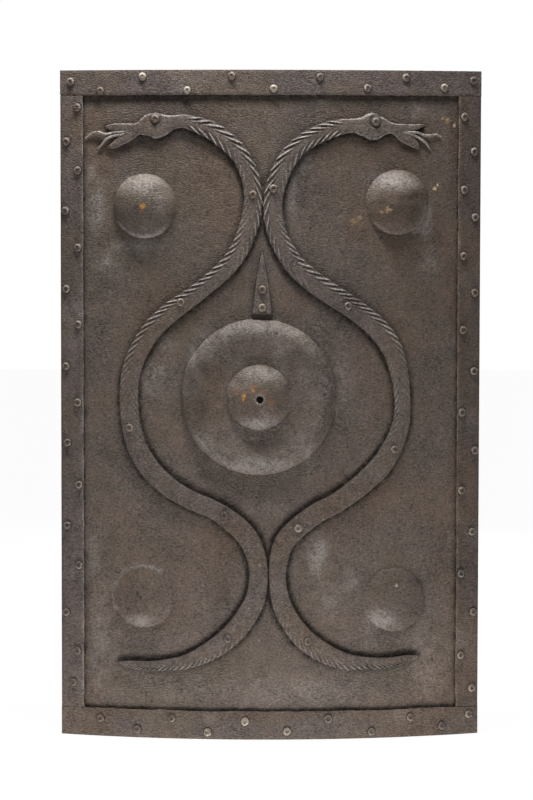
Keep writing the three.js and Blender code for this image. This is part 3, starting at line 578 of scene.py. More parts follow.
def sheet_wear_and_highlights(across, up):
    """How pale the face is from wear and painted highlights, with the bright rim of the hole, from 0 to 1."""
    reach = math.hypot(across - MIDDLE_HOLE[0], up - MIDDLE_HOLE[1])
    pale_marks = max(patch_strength(wear_and_highlight_patches, across, up), 0.9 * hump(reach, 0.0058, 0.0008))
    on_medallion = fade(0.1, 0.106, math.hypot(across - MEDALLION[0], up - MEDALLION[1]))
    cloudy = 0.3 * lumps(across, up, 0.035, 8.1) + 0.2 * lumps(across, up, 0.014, 8.3)
    pale_marks = max(pale_marks, on_medallion * (0.08 + cloudy) * (1 - patch_strength(brown_patches, across, up)))
    for (cx, cz), radius, width, low, high, amount in wear_and_highlight_arcs:
        reach = math.hypot(across - cx, up - cz)
        if abs(reach - radius) < 2.5 * width:
            turn = (math.degrees(math.atan2(up - cz, across - cx)) - low) % 360
            ends = ease(0, 12, turn) * fade(high - low - 12, high - low, turn)
            uneven = 0.8 + 0.5 * lumps(across, up, 0.007, 8.5)
            pale_marks = max(pale_marks, amount * hump(reach, radius, width) * ends * uneven)
    return pale_marks


# Darker places on the face, away from its corners. Some are dirt; others are painted shade under the
# serpents' heads and jaws, between the jaws, over the lower part of the upper right boss and along the
# wedge plate's left edge.
dirt_and_shade_patches = (
    (0.189, 0.712, 0.016, 0.015, 0.42), (0.16, 0.715, 0.024, 0.013, 0.32),
    (-0.094, 0.452, 0.01, 0.03, 0.48), (0.176, 0.73, 0.016, 0.007, 0.55),
    (0.194, 0.733, 0.011, 0.008, 0.55), (0.148, 0.724, 0.012, 0.007, 0.42),
    (-0.155, 0.722, 0.02, 0.006, 0.22), (-0.192, 0.724, 0.014, 0.006, 0.22),
    (-0.012, 0.488, 0.06, 0.005, 0.1), (0.028, 0.512, 0.01, 0.022, 0.2), (-0.02, 0.404, 0.05, 0.008, 0.22),
    (0.187, 0.797, 0.013, 0.006, 0.8), (-0.198, 0.7965, 0.014, 0.005, 0.65),
    (-0.183, 0.123, 0.02, 0.006, 0.35), (-0.0175, 0.64, 0.0035, 0.018, 0.45),
    (-0.176, 0.8045, 0.014, 0.003, 0.5), (0.164, 0.806, 0.012, 0.003, 0.5),
    (-0.17, 0.716, 0.034, 0.008, 0.12), (-0.106, 0.48, 0.008, 0.03, 0.3),
    (0.046, 0.515, 0.018, 0.014, 0.22), (-0.06, 0.556, 0.02, 0.007, 0.25),
    (-0.196, 0.8125, 0.013, 0.005, 0.8), (0.184, 0.8125, 0.013, 0.005, 0.8),
    (-0.0245, 0.6, 0.004, 0.04, 0.4), (0.001, 0.59, 0.004, 0.022, 0.3), (-0.052, 0.515, 0.03, 0.012, 0.12),
    (0.225, 0.69, 0.01, 0.05, 0.15), (-0.252, 0.15, 0.004, 0.11, 0.3), (-0.062, 0.2, 0.012, 0.03, 0.3),
    (0.018, 0.18, 0.012, 0.03, 0.25), (0.004, 0.215, 0.008, 0.045, 0.4), (0.25, 0.78, 0.005, 0.08, 0.25),
    (-0.2, 0.7, 0.01, 0.03, 0.15), (0.03, 0.46, 0.016, 0.03, 0.1), (-0.172, 0.206, 0.012, 0.006, 0.22),
    (-0.185, 0.194, 0.009, 0.016, 0.22), (-0.166, 0.168, 0.01, 0.005, 0.15),
    (-0.088, 0.5, 0.008, 0.018, 0.38), (0.02, 0.478, 0.008, 0.016, 0.25),
    (-0.092, 0.425, 0.008, 0.014, 0.25), (-0.047, 0.46, 0.004, 0.016, 0.28),
    (-0.016, 0.4145, 0.022, 0.003, 0.4), (0.012, 0.452, 0.006, 0.012, 0.22),
)


def sheet_dirt_and_shade(across, up):
    """Dirt and painted shade by the straps and in patches, a painted shadow below the top strap, and rings at
    the domes' feet.
    """
    side = HALF_SHEET - abs(across) - SIDE_STRAP_WIDTH
    foot, top = up - BOTTOM_STRAP_WIDTH, SHEET_HEIGHT - TOP_STRAP_FLAT - up
    patchy = 1 + 0.5 * lumps(across, up, 0.016, 39.0)
    # Dirt mixed with painted shade in the corner along the straps.
    grime = min(0.8 * patchy, 0.95) * fade(0.0, 0.006 * patchy, min(side, foot * 0.6, top))
    # A wider band of painted shadow below the top strap.
    grime = max(grime, 0.52 * fade(0.006, 0.021, top), patch_strength(dirt_and_shade_patches, across, up))
    for cx, cz, radius in circles:
        grime = max(grime, 0.15 * hump(math.hypot(across - cx, up - cz), radius + 0.001, 0.003))
    return grime


def face_marks(across, up):
    """How pale, stained and dark a place on the face is."""
    return sheet_wear_and_highlights(across, up), patch_strength(brown_patches, across, up), sheet_dirt_and_shade(across, up)


def back_marks(across, up):
    """The same for a place on the back."""
    worn = 0.25 * max(lumps(across, up, 0.045, 9.1), 0.0)
    stain = 0.45 + 0.45 * lumps(across, up, 0.09, 9.3)
    return worn, stain, 0.08 + 0.4 * max(lumps(across, up, 0.06, 9.5), 0.0)


sheet_marks = [face_marks(a, u) for a, u in flat_places]
mark(sheet, sheet_marks + [back_marks(a, u) for a, u in flat_places])
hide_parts("shield_sheet")
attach(sheet, "shield")


# The border straps
# Four flat bars of forged iron along the sheet's edges. The top and bottom ones run the full width, and
# the side ones butt between them. Their inner edges are a little uneven from the hammer.
STRAP_GAUGE = 0.003
STRAP_SEAT = 0.0003
STRAP_EDGE = 0.0008
strap_iron = iron_material("forged_strap_iron", {"Grey": (0.094, 0.074, 0.067)}, 0.35, 1.0, 0.001)


def swept(name, rings, material, closed=False, crease=40):
    """A skin over rings of equal size, with its ends filled in."""
    size = len(rings[0])
    vertices = [spot for ring in rings for spot in ring]
    faces = []
    for k in range(len(rings) if closed else len(rings) - 1):
        here, there = k * size, (k + 1) % len(rings) * size
        for j in range(size):
            n = (j + 1) % size
            faces.append((here + j, here + n, there + n, there + j))
    if not closed:
        faces += [tuple(reversed(range(size))), tuple(range(len(vertices) - size, len(vertices)))]
    made = mesh_object(name, vertices, faces, material, crease)
    turned = bmesh.new()
    turned.from_mesh(made.data)
    bmesh.ops.recalc_face_normals(turned, faces=turned.faces)
    turned.to_mesh(made.data)
    turned.free()
    return made


def strap(name, node, width, along_from, along_to, to_place, seed, rust, rim_wear_and_highlight, darkness):
    """One strap: to_place turns a distance along it and a distance in from the shield's edge to a place."""
    rings, marks = [], []
    steps = round((along_to - along_from) / 0.0025)
    for k in range(steps + 1):
        along = along_from + (along_to - along_from) * k / steps
        inner = width + 0.0009 * lumps(along, 0, 0.06, seed) + 0.0008 * lumps(along, 0, 0.014, seed + 3)
        gauge = STRAP_GAUGE + 0.00025 * lumps(along, 0, 0.045, seed + 6)
        low, cut = gauge - STRAP_EDGE, STRAP_EDGE * 0.3
        section = [(0.0, 0.0), (0.0, low), (cut, gauge - cut)]
        section += [(STRAP_EDGE + (inner - 2 * STRAP_EDGE) * j / 8, gauge) for j in range(9)]
        section += [(inner - cut, gauge - cut), (inner, low), (inner, 0.0)]
        ring = []
        for inward, lift in section:
            if lift >= gauge:
                lift += 0.00018 * lumps(along, inward, 0.018, seed + 9)
            ring.append(rolled(*to_place(along, inward), STRAP_SEAT + lift))
            # The inner edge is pale, partly rubbed iron and partly a painted highlight.
            rubbed_and_lit = rim_wear_and_highlight * ease(inner - 0.0012, inner, inward) * (0.6 + lumps(along, 0, 0.02, seed + 15))
            worn = min(max(0.25 * lumps(along, inward, 0.05, seed + 12), rubbed_and_lit, 0.0), 1.0)
            patchy = max(1 + 0.8 * lumps(along, inward, 0.07, seed + 18), 0)
            stain = rust * (0.35 + 0.65 * ease(width * 0.55, width, inward)) * patchy
            # The foot of each wall is darkened as painted shade where the strap meets the sheet; the outer
            # edge and the given straps are darker with dirt.
            grime = 0.5 if lift < 0.001 else max(0.25 * fade(0.0, 0.003, inward), darkness)
            marks.append((worn, stain, grime))
        rings.append(ring)
    made = swept(name, rings, strap_iron)
    mark(made, marks)
    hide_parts(node)
    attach(made, "shield")


side_ends = (BOTTOM_STRAP_WIDTH + STRAP_SEAT, SHEET_HEIGHT - TOP_STRAP_WIDTH - STRAP_SEAT)
strap("top_strap_iron", "top_strap", TOP_STRAP_WIDTH, -HALF_SHEET, HALF_SHEET,
      lambda along, inward: (along, SHEET_HEIGHT - inward), 21.0, 0.15, 0.1, 0.0)
strap("bottom_strap_iron", "bottom_strap", BOTTOM_STRAP_WIDTH, -HALF_SHEET, HALF_SHEET,
      lambda along, inward: (along, inward), 22.0, 1.2, 0.35, 0.1)
strap("left_strap_iron", "left_strap", SIDE_STRAP_WIDTH, *side_ends,
      lambda along, inward: (inward - HALF_SHEET, along), 23.0, 0.12, 0.9, 0.0)
strap("right_strap_iron", "right_strap", SIDE_STRAP_WIDTH, *side_ends,
      lambda along, inward: (HALF_SHEET - inward, along), 24.0, 1.2, 0.5, 0.2)


# The serpents
# Two bars forged to a crown, bent into facing curves and chased with feather strokes that run out and
# back from the spine. Each ends in a flat head with open jaws and a forked tongue, and in a drawn tail.
SERPENT_WIDTH = 0.027
SERPENT_DEPTH = 0.006
SERPENT_SEAT = 0.0003
TAIL_LIFT = 0.0028
FEATHER_DEPTH = 0.0018
EYE_GROOVE_RADIUS = 0.0078
TONGUE_LIFT = 0.0034
TONGUE_DIP = 0.0016
STATION_STEP = 0.0012
TINE_STEP = 0.001
LEFT_EYE = (-0.1549, 0.8353)
RIGHT_EYE = (0.139, 0.832)
serpent_looks = {"Grey": (0.104, 0.082, 0.072), "Bare": (0.44, 0.405, 0.38)}
serpent_iron = iron_material("chased_serpent_iron", serpent_looks, 0.4, 0.9, 0.0008)

# Stations from the snout or the root to the tip: how far across, as a share of half the sheet's width, how
# far up, as a share of its height, and the width and depth, as shares of a full bar's.
left_body = (
    (-0.774, 0.916, 0.12, 0.5), (-0.747, 0.915, 0.33, 0.7), (-0.705, 0.915, 0.39, 0.75),
    (-0.664, 0.915, 0.38, 0.8), (-0.64, 0.914, 0.44, 0.85), (-0.613, 0.914, 0.64, 0.95),
    (-0.587, 0.916, 0.94, 1.0), (-0.563, 0.918, 1.16, 1.0), (-0.535, 0.918, 1.32, 1.0),
    (-0.5, 0.919, 1.08, 1.0), (-0.46, 0.922, 0.72, 1.0), (-0.404, 0.924, 0.67, 1.0),
    (-0.336, 0.918, 0.8, 1.0), (-0.254, 0.906, 0.91, 1.0), (-0.137, 0.87, 0.9, 1.0),
    (-0.085, 0.82, 0.92, 1.0), (-0.105, 0.767, 0.94, 1.0), (-0.183, 0.717, 0.91, 1.0),
    (-0.347, 0.669, 0.9, 1.0), (-0.468, 0.641, 1.0, 1.0), (-0.567, 0.609, 0.98, 1.0),
    (-0.648, 0.558, 0.97, 1.0), (-0.665, 0.505, 0.97, 1.0), (-0.634, 0.445, 1.0, 1.0),
    (-0.576, 0.411, 1.02, 1.0), (-0.49, 0.383, 0.98, 1.0), (-0.378, 0.361, 0.92, 1.0),
    (-0.265, 0.346, 0.92, 1.0), (-0.177, 0.327, 1.0, 1.0), (-0.104, 0.303, 1.02, 1.0),
    (-0.059, 0.262, 0.94, 1.0), (-0.069, 0.216, 0.98, 1.0), (-0.11, 0.188, 1.05, 1.0),
    (-0.18, 0.159, 1.04, 1.0), (-0.279, 0.134, 0.95, 1.0), (-0.39, 0.117, 0.72, 0.95),
    (-0.487, 0.111, 0.57, 0.85), (-0.577, 0.109, 0.48, 0.75), (-0.658, 0.111, 0.36, 0.65),
    (-0.712, 0.113, 0.1, 0.5),
)
right_body = (
    (0.714, 0.919, 0.1, 0.5), (0.689, 0.917, 0.24, 0.7), (0.657, 0.915, 0.33, 0.75),
    (0.622, 0.915, 0.38, 0.8), (0.582, 0.914, 0.48, 0.9), (0.547, 0.915, 0.6, 0.95),
    (0.52, 0.916, 0.9, 1.0), (0.49, 0.916, 1.26, 1.0), (0.46, 0.917, 1.34, 1.0), (0.418, 0.917, 0.93, 1.0),
    (0.38, 0.918, 0.7, 1.0), (0.323, 0.916, 0.77, 1.0), (0.254, 0.91, 0.87, 1.0), (0.146, 0.892, 0.89, 1.0),
    (0.088, 0.874, 0.94, 1.0), (0.045, 0.851, 0.97, 1.0), (0.008, 0.808, 0.96, 1.0),
    (0.022, 0.763, 0.97, 1.0), (0.1, 0.715, 1.01, 1.0), (0.183, 0.69, 1.07, 1.0), (0.29, 0.666, 1.08, 1.0),
    (0.39, 0.645, 1.05, 1.0), (0.493, 0.618, 1.07, 1.0), (0.566, 0.586, 1.05, 1.0),
    (0.603, 0.547, 0.92, 1.0), (0.617, 0.503, 0.82, 1.0), (0.612, 0.475, 0.88, 1.0),
    (0.581, 0.446, 0.97, 1.0), (0.52, 0.413, 1.07, 1.0), (0.426, 0.384, 1.04, 1.0),
    (0.314, 0.358, 0.99, 1.0), (0.215, 0.341, 1.0, 1.0), (0.126, 0.32, 1.02, 1.0), (0.06, 0.296, 0.99, 1.0),
    (0.033, 0.262, 0.89, 1.0), (0.032, 0.24, 0.86, 1.0), (0.047, 0.209, 0.93, 1.0),
    (0.087, 0.181, 0.99, 1.0), (0.157, 0.152, 1.05, 1.0), (0.243, 0.132, 1.0, 1.0),
    (0.341, 0.118, 0.85, 0.95), (0.445, 0.114, 0.62, 0.85), (0.56, 0.114, 0.5, 0.75),
    (0.647, 0.119, 0.38, 0.65), (0.692, 0.122, 0.1, 0.5),
)
left_jaw = (
    (-0.6, 0.914, 0.35, 0.75), (-0.634, 0.908, 0.43, 0.8), (-0.666, 0.901, 0.41, 0.75),
    (-0.707, 0.895, 0.44, 0.7), (-0.734, 0.889, 0.33, 0.65), (-0.763, 0.886, 0.1, 0.5),
)
right_jaw = (
    (0.56, 0.914, 0.35, 0.75), (0.584, 0.909, 0.4, 0.8), (0.619, 0.901, 0.5, 0.75), (0.65, 0.896, 0.5, 0.7),
    (0.674, 0.89, 0.36, 0.65), (0.693, 0.884, 0.1, 0.5),
)
left_tongues = (
    ((-0.655, 0.911, 0.12), (-0.701, 0.908, 0.12), (-0.739, 0.907, 0.12), (-0.776, 0.905, 0.12),
     (-0.813, 0.908, 0.12), (-0.844, 0.906, 0.1), (-0.876, 0.899, 0.07)),
    ((-0.665, 0.907, 0.12), (-0.705, 0.904, 0.12), (-0.742, 0.902, 0.12), (-0.77, 0.898, 0.12),
     (-0.79, 0.891, 0.11), (-0.817, 0.883, 0.07)),
)
right_tongues = (
    ((0.605, 0.911, 0.12), (0.646, 0.909, 0.12), (0.684, 0.908, 0.12), (0.718, 0.904, 0.12),
     (0.751, 0.904, 0.11), (0.779, 0.905, 0.1), (0.8, 0.902, 0.07)),
    ((0.605, 0.909, 0.12), (0.645, 0.906, 0.12), (0.678, 0.902, 0.12), (0.706, 0.897, 0.12),
     (0.729, 0.891, 0.11), (0.746, 0.883, 0.06)),
)


def smooth_run(table, step):
    """Evenly spaced stations on a smooth line through a table's places and sizes."""

    def between(low_point, high_point, low, high, t):
        """The point as far between two others as t lies between low and high."""
        return low_point * (high - t) / (high - low) + high_point * (t - low) / (high - low)

    points = [np.array((a * HALF_SHEET, u * SHEET_HEIGHT, *rest)) for a, u, *rest in table]
    padded = [2 * points[0] - points[1], *points, 2 * points[-1] - points[-2]]
    dense = []
    for window in zip(padded, padded[1:], padded[2:], padded[3:]):
        gaps = [max(np.linalg.norm((b - a)[:2]), 1e-6) ** 0.5 for a, b in zip(window, window[1:])]
        knots = [0.0, gaps[0], gaps[0] + gaps[1], gaps[0] + gaps[1] + gaps[2]]
        for j in range(24):
            t = knots[1] + (knots[2] - knots[1]) * j / 24
            level = window
            for reach in (1, 2):
                level = [between(level[k], level[k + 1], knots[k], knots[k + reach], t)
                         for k in range(len(level) - 1)]
            dense.append(between(level[0], level[1], knots[1], knots[2], t))
    dense = np.array([*dense, points[-1]])
    run = np.concatenate([[0], np.cumsum(np.linalg.norm(np.diff(dense[:, :2], axis=0), axis=1))])
    marks = np.linspace(0, run[-1], max(round(run[-1] / step), 4) + 1)
    return marks, np.column_stack([np.interp(marks, run, dense[:, c]) for c in range(dense.shape[1])])


def headings(line):
    """The direction of a line at each of its points."""
    steps = np.gradient(line, axis=0)
    return steps / np.linalg.norm(steps, axis=1, keepdims=True)


def beside(station, heading, reach, out):
    """A place to one side of a line on the face, and out from the face."""
    return rolled(station[0] + heading[1] * reach, station[1] - heading[0] * reach, out)


# Feather strokes along a body: share of its length from the snout, pitch and lean of the strokes, and how
# deep they are on the left and on the right of the way from head to tail.
left_strokes = (
    (0.0, 0.012, 1.6, 0.0, 0.0), (0.092, 0.012, 1.8, 0.0, 0.0), (0.105, 0.013, 2.2, 1.0, 0.8),
    (0.15, 0.015, 2.4, 1.0, 0.8), (0.19, 0.015, 2.4, 1.0, 0.3), (0.24, 0.014, 2.4, 0.8, 0.2),
    (0.27, 0.013, 2.4, 0.6, 0.6), (0.3, 0.013, 2.2, 0.25, 0.8), (0.36, 0.012, 2.2, 0.1, 0.9),
    (0.44, 0.012, 2.2, 0.1, 0.7), (0.48, 0.01, 2.0, 0.2, 0.35), (0.52, 0.009, 2.0, 0.45, 0.15),
    (0.58, 0.011, 2.0, 0.15, 0.1), (0.7, 0.012, 1.8, 0.12, 0.12), (0.8, 0.01, 1.6, 0.15, 0.1),
    (0.86, 0.009, 1.2, 0.4, 0.05), (0.92, 0.008, 1.2, 0.95, 0.05), (0.975, 0.006, 1.6, 1.1, 0.0),
    (1.0, 0.006, 1.6, 0.8, 0.0),
)
right_strokes = tuple((s, pitch, lean, right, left) for s, pitch, lean, left, right in left_strokes)


def serpent(side, table, strokes, eye, seed):
    """The bar from snout to tail, crowned, chased and a little lifted at the tail."""
    marks, stations = smooth_run(table, STATION_STEP)
    shares = marks / marks[-1]
    keys = np.array(strokes)
    pitch, lean, left, right = (np.interp(shares, keys[:, 0], keys[:, c]) for c in (1, 2, 3, 4))
    uneven = np.array([1 + 0.35 * lumps(m, 0, 0.03, seed) for m in marks])
    phase = np.concatenate([[0], np.cumsum(np.diff(marks) / (pitch * uneven)[1:])])
    rings, looks = [], []
    lines = zip(stations, headings(stations[:, :2]), marks, shares, left, right, lean)
    for (across, up, width, depth), aim, along, share, left_cut, right_cut, slant in lines:
        half, deep = width * SERPENT_WIDTH / 2, depth * SERPENT_DEPTH
        head = fade(0.075, 0.11, share)
        rough = ease(0.45, 0.7, share)
        flat = 0.76 + 0.1 * head
        lift = SERPENT_SEAT + TAIL_LIFT * ease(0.93, 1.0, share)
        lift += 0.0005 * max(lumps(along, 0, 0.16, 31.0), 0)
        ring = []
        for t in [-1 + j / 18 for j in range(37)]:
            v = abs(t)
            crown = deep * (flat + (1 - flat) * (1 - v ** (2.0 + 2.0 * head)))
            crown -= min(0.0009 + 0.0006 * head, deep * 0.35) * ease(0.86 - 0.14 * head, 1.0, v) ** 2
            strength = (left_cut if t < 0 else right_cut) * ease(0.1, 0.5, v) * min(half / 0.007, 1.0)
            turn = np.interp(along - slant * v * half, marks, phase) + (0.35 if t < 0 else 0.0)
            ridge = (0.5 + 0.5 * math.cos(2 * math.pi * turn)) ** (6.0 + 3.0 * lumps(along, t, 0.04, 32.0))
            crown += strength * FEATHER_DEPTH * (ridge - 0.3) * (1 - 0.35 * ease(0.9, 1.0, v))
            reach = half * (1 + 0.02 * lumps(along, t, 0.012, 33.0))
            reach += 0.00035 * ease(0.8, 1.0, v) * lumps(along, t, 0.005, 34.0)
            reach += strength * 0.0005 * (ridge - 0.4) * ease(0.85, 1.0, v)
            px, pz = across + aim[1] * reach * t, up - aim[0] * reach * t
            crown += (0.00025 + 0.0002 * rough) * lumps(px, pz, 0.011, 35.0)
            crown += (0.00015 + 0.0002 * rough) * lumps(px, pz, 0.005, 36.0)
            away = math.hypot(px - eye[0], pz - eye[1])
            crown -= 0.0009 * hump(away, EYE_GROOVE_RADIUS, 0.0013)
            crown += 0.0004 * hump(away, 0.0105, 0.0012)
            ring.append(rolled(px, pz, lift + max(crown, 0.0008)))
            worn = strength * ridge * ease(0.3, 0.6, v) * (0.95 - 0.45 * rough)
            worn += 0.3 * head * ease(0.78, 0.9, v)
            stain = max(0.4 * lumps(px, pz, 0.045, 37.0), 0.0) + 0.25 * rough
            # The grooves between the feather ridges, the eye's groove and the outer edges are darkened with
            # dirt and painted shade, and the rougher tail end with dirt.
            grime = 0.4 * strength * (1 - ridge) * ease(0.3, 0.7, v)
            grime += 0.6 * hump(away, EYE_GROOVE_RADIUS, 0.0016)
            grime += 0.35 * rough * max(lumps(px, pz, 0.009, 37.5), 0) + 0.55 * ease(0.92, 1.0, v)
            looks.append((min(worn, 1.0), stain, min(grime, 1.0)))
        # The foot of each wall is darkened as painted shade where the bar meets the sheet.
        for t in (1, -1):
            ring.append(beside((across, up), aim, half * 1.01 * t, lift))
            looks.append((0.0, 0.0, 0.8))
        rings.append(ring)
    made = swept(f"{side}_serpent_iron", rings, serpent_iron, crease=50)
    mark(made, looks)
    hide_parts(f"{side}_serpent")
    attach(made, "shield")
    return stations


def jaw(side, table):
    """The lower jaw, split from the snout and bent down."""
    marks, stations = smooth_run(table, STATION_STEP)
    rings, looks = [], []
    for (across, up, width, depth), aim, along in zip(stations, headings(stations[:, :2]), marks):
        half = width * SERPENT_WIDTH / 2
        ring = []
        for j in range(13):
            t = -1 + j / 6
            crown = depth * SERPENT_DEPTH * (0.72 + 0.28 * (1 - abs(t) ** 3))
            crown -= 0.0007 * ease(0.75, 1.0, abs(t)) ** 2
            crown += 0.00018 * lumps(along, t * 0.01, 0.008, 41.0)
            ring.append(beside((across, up), aim, half * t, SERPENT_SEAT + crown))
            looks.append((0.225 * ease(0.6, 1.0, abs(t)), 0.1, 0.0))
        for t in (1, -1):
            ring.append(beside((across, up), aim, half * t, SERPENT_SEAT))
            looks.append((0.0, 0.1, 0.0))
        rings.append(ring)
    made = swept(f"{side}_serpent_jaw", rings, serpent_iron, crease=50)
    mark(made, looks)
    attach(made, "shield")


def tongue(name, table):
    """One tine of the tongue: a thin wire that stands clear of the sheet and dips at its tip."""
    marks, stations = smooth_run(table, TINE_STEP)
    rings = []
    for (across, up, width), aim, share in zip(stations, headings(stations[:, :2]), marks / marks[-1]):
        radius = width * SERPENT_WIDTH / 2
        middle = TONGUE_LIFT - TONGUE_DIP * ease(0.55, 1.0, share)
        ring = []
        for j in range(10):
            turn = 2 * math.pi * j / 10
            out = middle + radius * 0.9 * math.sin(turn)
            ring.append(beside((across, up), aim, radius * math.cos(turn), out))
        rings.append(ring)
    made = swept(name, rings, serpent_iron, crease=60)
    mark(made, (0.4, 0.0, 0.0))
    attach(made, "shield")


left_run = serpent("left", left_body, left_strokes, LEFT_EYE, 30.0)
right_run = serpent("right", right_body, right_strokes, RIGHT_EYE, 30.7)
jaw("left", left_jaw)
jaw("right", right_jaw)
for side, tines in (("left", left_tongues), ("right", right_tongues)):
    for k, table in enumerate(tines):
        tongue(f"{side}_serpent_tongue_{k + 1}", table)

# The sheet is darkened along the bars: scale and dirt, most of all round their lower loops, mixed with
# painted shadow that lies below the bars in the upper half and above them in the lower half.
run = np.vstack([left_run, right_run])
run_share = np.concatenate([np.linspace(0, 1, len(left_run)), np.linspace(0, 1, len(right_run))])
layer = sheet.data.attributes["grime"].data
for k, (across, up) in enumerate(flat_places):
    near = (run[:, 0] - across) ** 2 + (run[:, 1] - up) ** 2
    nearest = int(np.argmin(near))
    gap = math.sqrt(near[nearest]) - run[nearest, 2] * SERPENT_WIDTH / 2
    if gap < 0.012:
        shaded_side = (up - run[nearest, 1]) / math.sqrt(near[nearest] + 1e-9) * (1 if up < 0.5 else -1)
        crust_and_shade = (0.8 + 0.35 * fade(0.25, 0.5, up)) * (1 + 0.5 * lumps(across, up, 0.014, 38.0))
        lit_side_share = 0.35 + 0.4 * fade(0.35, 0.5, up) * fade(0.86, 0.92, run_share[nearest])
        crust_and_shade *= lit_side_share + (1.1 - lit_side_share) * ease(-0.9, 0.6, shaded_side)
        layer[k].value = max(layer[k].value, min(crust_and_shade * fade(0.001, 0.0085, gap), 0.97))


# The wedge plate
# A short plate above the medallion, cut square at its foot and drawn out thin to a point at its top. It
# backs the hanging ring's saddle, and the same two rivets go through both.
WEDGE_ACROSS = -0.0121
WEDGE_FOOT = 0.5742
WEDGE_LENGTH = 0.086
WEDGE_WIDTH = 0.0265
WEDGE_GAUGE = 0.0045
WEDGE_SEAT = 0.0003
WEDGE_RIVETS = ((0.0092, 0.0045), (0.0335, 0.0038))
wedge_side = ((1.0, 0.0), (0.81, 0.25), (0.63, 0.49), (0.385, 0.685), (0.13, 0.915), (0.02, 1.0))
rings, marks = [], []
for k in range(61):
    share = k / 60
    half = np.interp(share, [s for _, s in wedge_side], [h for h, _ in wedge_side]) * WEDGE_WIDTH / 2
    deep = WEDGE_GAUGE * (1 - 0.62 * share) * (0.72 + 0.28 * ease(0.0, 0.02, share))
    deep += 0.00015 * lumps(share, 0, 0.15, 51.0)
    pz = WEDGE_FOOT + WEDGE_LENGTH * share
    ring = []
    for j in range(13):
        t = -1 + j / 6
        bevel = min(0.0008, half * 0.3) * ease(0.8, 1.0, abs(t)) ** 2
        px = WEDGE_ACROSS + half * t
        ring.append(rolled(px, pz, WEDGE_SEAT + deep - bevel + 0.0001 * lumps(px, pz, 0.008, 52.0)))
        # The edges are a little paler with wear, and darker towards the bevel as painted shade.
        worn = 0.14 + 0.2 * ease(0.7, 1.0, abs(t)) * (0.6 + 0.4 * share)
        marks.append((worn, 0.3, 0.05 + 0.45 * ease(0.8, 1.0, abs(t))))
    # Each side runs out to a skirt whose foot is darkened fully as a painted shadow outline.
    for spread in (half + 0.0009, -half - 0.0014):
        ring.append(rolled(WEDGE_ACROSS + spread, pz, WEDGE_SEAT))
        marks.append((0.0, 0.3, 1.0))
    rings.append(ring)
wedge = swept("wedge_plate_iron", rings, strap_iron)
mark(wedge, marks)
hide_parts("wedge_plate")
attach(wedge, "shield")


# The rivets
# Soft iron rivets, closed hot with a hammer: a round head with a flattened, slightly dished top on the
# face, and a rough peened tail on the back. Those of a strap run in a zigzag.
RIVET_RADIUS = 0.006
RIVET_RISE = 0.0042
TAIL_RADIUS = 0.0043
TAIL_RISE = 0.0016
RIVET_SINK = 0.0002
GRIP_RIVET = 8
GRIP_STACK = 0.0057
SADDLE_STACK = 0.0028

# Where each strap's rivets stand: how far along, as a share of half the sheet's width or of its height,
# and how far in, as a share of the strap's width.
top_rivets = (
    (-0.945, 0.46), (-0.8, 0.84), (-0.598, 0.27), (-0.389, 0.83), (-0.183, 0.25), (0.01, 0.76),
    (0.223, 0.28), (0.444, 0.72), (0.627, 0.29), (0.812, 0.68), (0.957, 0.37),
)
bottom_rivets = (
    (-0.806, 0.65), (-0.627, 0.3), (-0.462, 0.73), (-0.293, 0.26), (-0.119, 0.65), (0.077, 0.3),
    (0.269, 0.73), (0.474, 0.24), (0.661, 0.71), (0.816, 0.35), (0.952, 0.72),
)
left_rivets = (
    (0.945, 0.78), (0.894, 0.29), (0.851, 0.8), (0.791, 0.24), (0.736, 0.8), (0.674, 0.28), (0.621, 0.81),
    (0.558, 0.25), (0.504, 0.77), (0.443, 0.31), (0.38, 0.82), (0.318, 0.3), (0.258, 0.82), (0.186, 0.24),
    (0.128, 0.73), (0.08, 0.55),
)
right_rivets = (
    (0.932, 0.78), (0.88, 0.33), (0.823, 0.77), (0.782, 0.27), (0.724, 0.79), (0.669, 0.27), (0.613, 0.8),
    (0.551, 0.28), (0.489, 0.81), (0.431, 0.22), (0.371, 0.82), (0.308, 0.33), (0.245, 0.82), (0.186, 0.25),
    (0.121, 0.82), (0.07, 0.3),
)
# Where the serpents' rivets stand: how far across and up, as shares of the same two lengths.
serpent_rivets = (
    (-0.537, 0.928), (-0.085, 0.816), (-0.418, 0.656), (-0.66, 0.468), (-0.215, 0.338), (-0.2, 0.153),
    (0.482, 0.924), (0.009, 0.825), (0.355, 0.651), (0.577, 0.436), (0.127, 0.319), (0.173, 0.149),
)
strap_top = STRAP_SEAT + STRAP_GAUGE
serpent_top = SERPENT_SEAT + SERPENT_DEPTH * 0.9
seats = [(a * HALF_SHEET, SHEET_HEIGHT - i * TOP_STRAP_FLAT, strap_top) for a, i in top_rivets]
seats += [(a * HALF_SHEET, i * BOTTOM_STRAP_WIDTH, strap_top) for a, i in bottom_rivets]
seats += [(i * SIDE_STRAP_WIDTH - HALF_SHEET, u * SHEET_HEIGHT, strap_top) for u, i in left_rivets]
seats += [(HALF_SHEET - i * SIDE_STRAP_WIDTH, u * SHEET_HEIGHT, strap_top) for u, i in right_rivets]
seats += [(a * HALF_SHEET, u * SHEET_HEIGHT, serpent_top) for a, u in serpent_rivets]
seats += [(WEDGE_ACROSS, WEDGE_FOOT + up, top) for up, top in WEDGE_RIVETS]
first_left = len(top_rivets) + len(bottom_rivets)
first_right = first_left + len(left_rivets)

# Some tails close over the grip bar or the saddle too, and so lie further back.
further_back = {first_left + GRIP_RIVET: GRIP_STACK, first_right + GRIP_RIVET: GRIP_STACK}
further_back |= {len(seats) - 2: SADDLE_STACK, len(seats) - 1: SADDLE_STACK}
